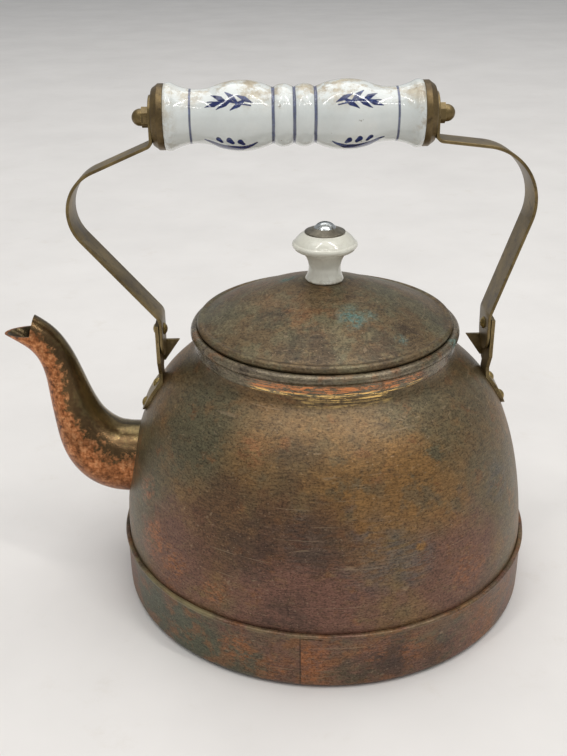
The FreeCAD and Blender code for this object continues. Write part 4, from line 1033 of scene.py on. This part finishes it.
for side in ("left", "right"):
    dress("handle_arm_" + side, brass, 0.3)
    dress("ear_" + side, brass)
    dress("end_cap_" + side, cap_brass, 0.25)
    dress("cap_nut_" + side, brass, 0.3)
    dress("ear_rivets_" + side, rivet_brass, 0.15)
    dress("pivot_rivet_" + side, rivet_brass, 0.2)
dress("bottom_pan", band_copper)
dress("lid_skirt", lid_copper, 0.15)
dress("knob_washer", washer_metal, 0.2)
dress("knob_screw", bright_steel)
dress("knob_nut", plain_steel, 0.2)
dress("handle_rod", plain_steel)


# Floor and light, in metres
FLOOR = 60.0
floor_mesh = bpy.data.meshes.new("floor")
floor_mesh.from_pydata(
    [(-FLOOR, -FLOOR, 0), (FLOOR, -FLOOR, 0), (FLOOR, FLOOR, 0), (-FLOOR, FLOOR, 0)], [], [(0, 1, 2, 3)]
)
floor = add_object("floor", floor_mesh)
paint = Paint("pale_table")
smudge = paint.times(paint.step(paint.noise(30, 6, 0.72), 0.56, 0.76), 0.25)
sheet = paint.ramp(paint.noise(9, 4, 0.6), (0.3, tint(226, 223, 220)), (0.7, tint(235, 232, 229)))
sheet = paint.mix(smudge, sheet, tint(210, 202, 190))
grain = paint.bumps((paint.noise(300, 3, 0.6), 0.02))
floor.data.materials.append(paint.done(sheet, 0.55, 0.0, grain))


def softbox(name, place, aim, width, height, power, colour):
    """A soft rectangular light that faces a point."""
    light = bpy.data.lights.new(name, "AREA")
    light.shape = "RECTANGLE"
    light.size, light.size_y = width, height
    light.energy = power
    light.color = colour
    made = add_object(name, light)
    made.location = place
    made.rotation_euler = (Vector(aim) - Vector(place)).to_track_quat("-Z", "Y").to_euler()


LAMP_WHITE, STRIP_WHITE = (1.0, 0.985, 0.96), (1.0, 0.98, 0.95)
softbox("top", (0.1, 0.25, 2.2), (0, 0, 0.05), 2.6, 2.6, 35, LAMP_WHITE)
softbox("tube", (0.4, -1.0, 1.5), (0.2, -0.2, 0.1), 1.8, 0.04, 2.8, LAMP_WHITE)
softbox("strip_left", (-0.55, -0.5, 1.5), (0, 0, 0.15), 0.05, 1.1, 2.6, STRIP_WHITE)
softbox("strip_right", (0.6, -0.45, 1.5), (0, 0, 0.15), 0.05, 1.1, 3.6, STRIP_WHITE)

world = bpy.data.worlds.new("studio")
world.use_nodes = True
backdrop = world.node_tree.nodes["Background"]
backdrop.inputs["Color"].default_value = (0.86, 0.88, 0.90, 1)
backdrop.inputs["Strength"].default_value = 0.42
bpy.context.scene.world = world
bpy.context.scene.view_settings.view_transform = "Standard"

# The photograph's viewpoint, fitted to the circles of band, rim and lid: distance and height in
# millimetres, focal length and frame height in pixels, and the sensor's size
DISTANCE, HEIGHT, FOCUS, FRAME_HEIGHT, SENSOR = 381.3, 273.3, 1000.0, 756, 36.0
YAW, PITCH, ROLL, KETTLE_TURN = (math.radians(angle) for angle in (-2.56, 25.62, -0.66, 3.65))
ahead = Vector((math.sin(YAW) * math.cos(PITCH), math.cos(YAW) * math.cos(PITCH), -math.sin(PITCH)))
level_right = Vector((math.cos(YAW), -math.sin(YAW), 0))
level_up = level_right.cross(ahead)
right = math.cos(ROLL) * level_right + math.sin(ROLL) * level_up
up = math.cos(ROLL) * level_up - math.sin(ROLL) * level_right
axes = Matrix((right, up, -ahead)).transposed().to_4x4()
lens = bpy.data.cameras.new("view")
lens.sensor_width = SENSOR
lens.lens = SENSOR * FOCUS / FRAME_HEIGHT
camera = add_object("view", lens)
stand = Matrix.Translation((0, -DISTANCE * MM, HEIGHT * MM))
camera.matrix_world = Matrix.Rotation(-KETTLE_TURN, 4, "Z") @ stand @ axes
bpy.context.scene.camera = camera
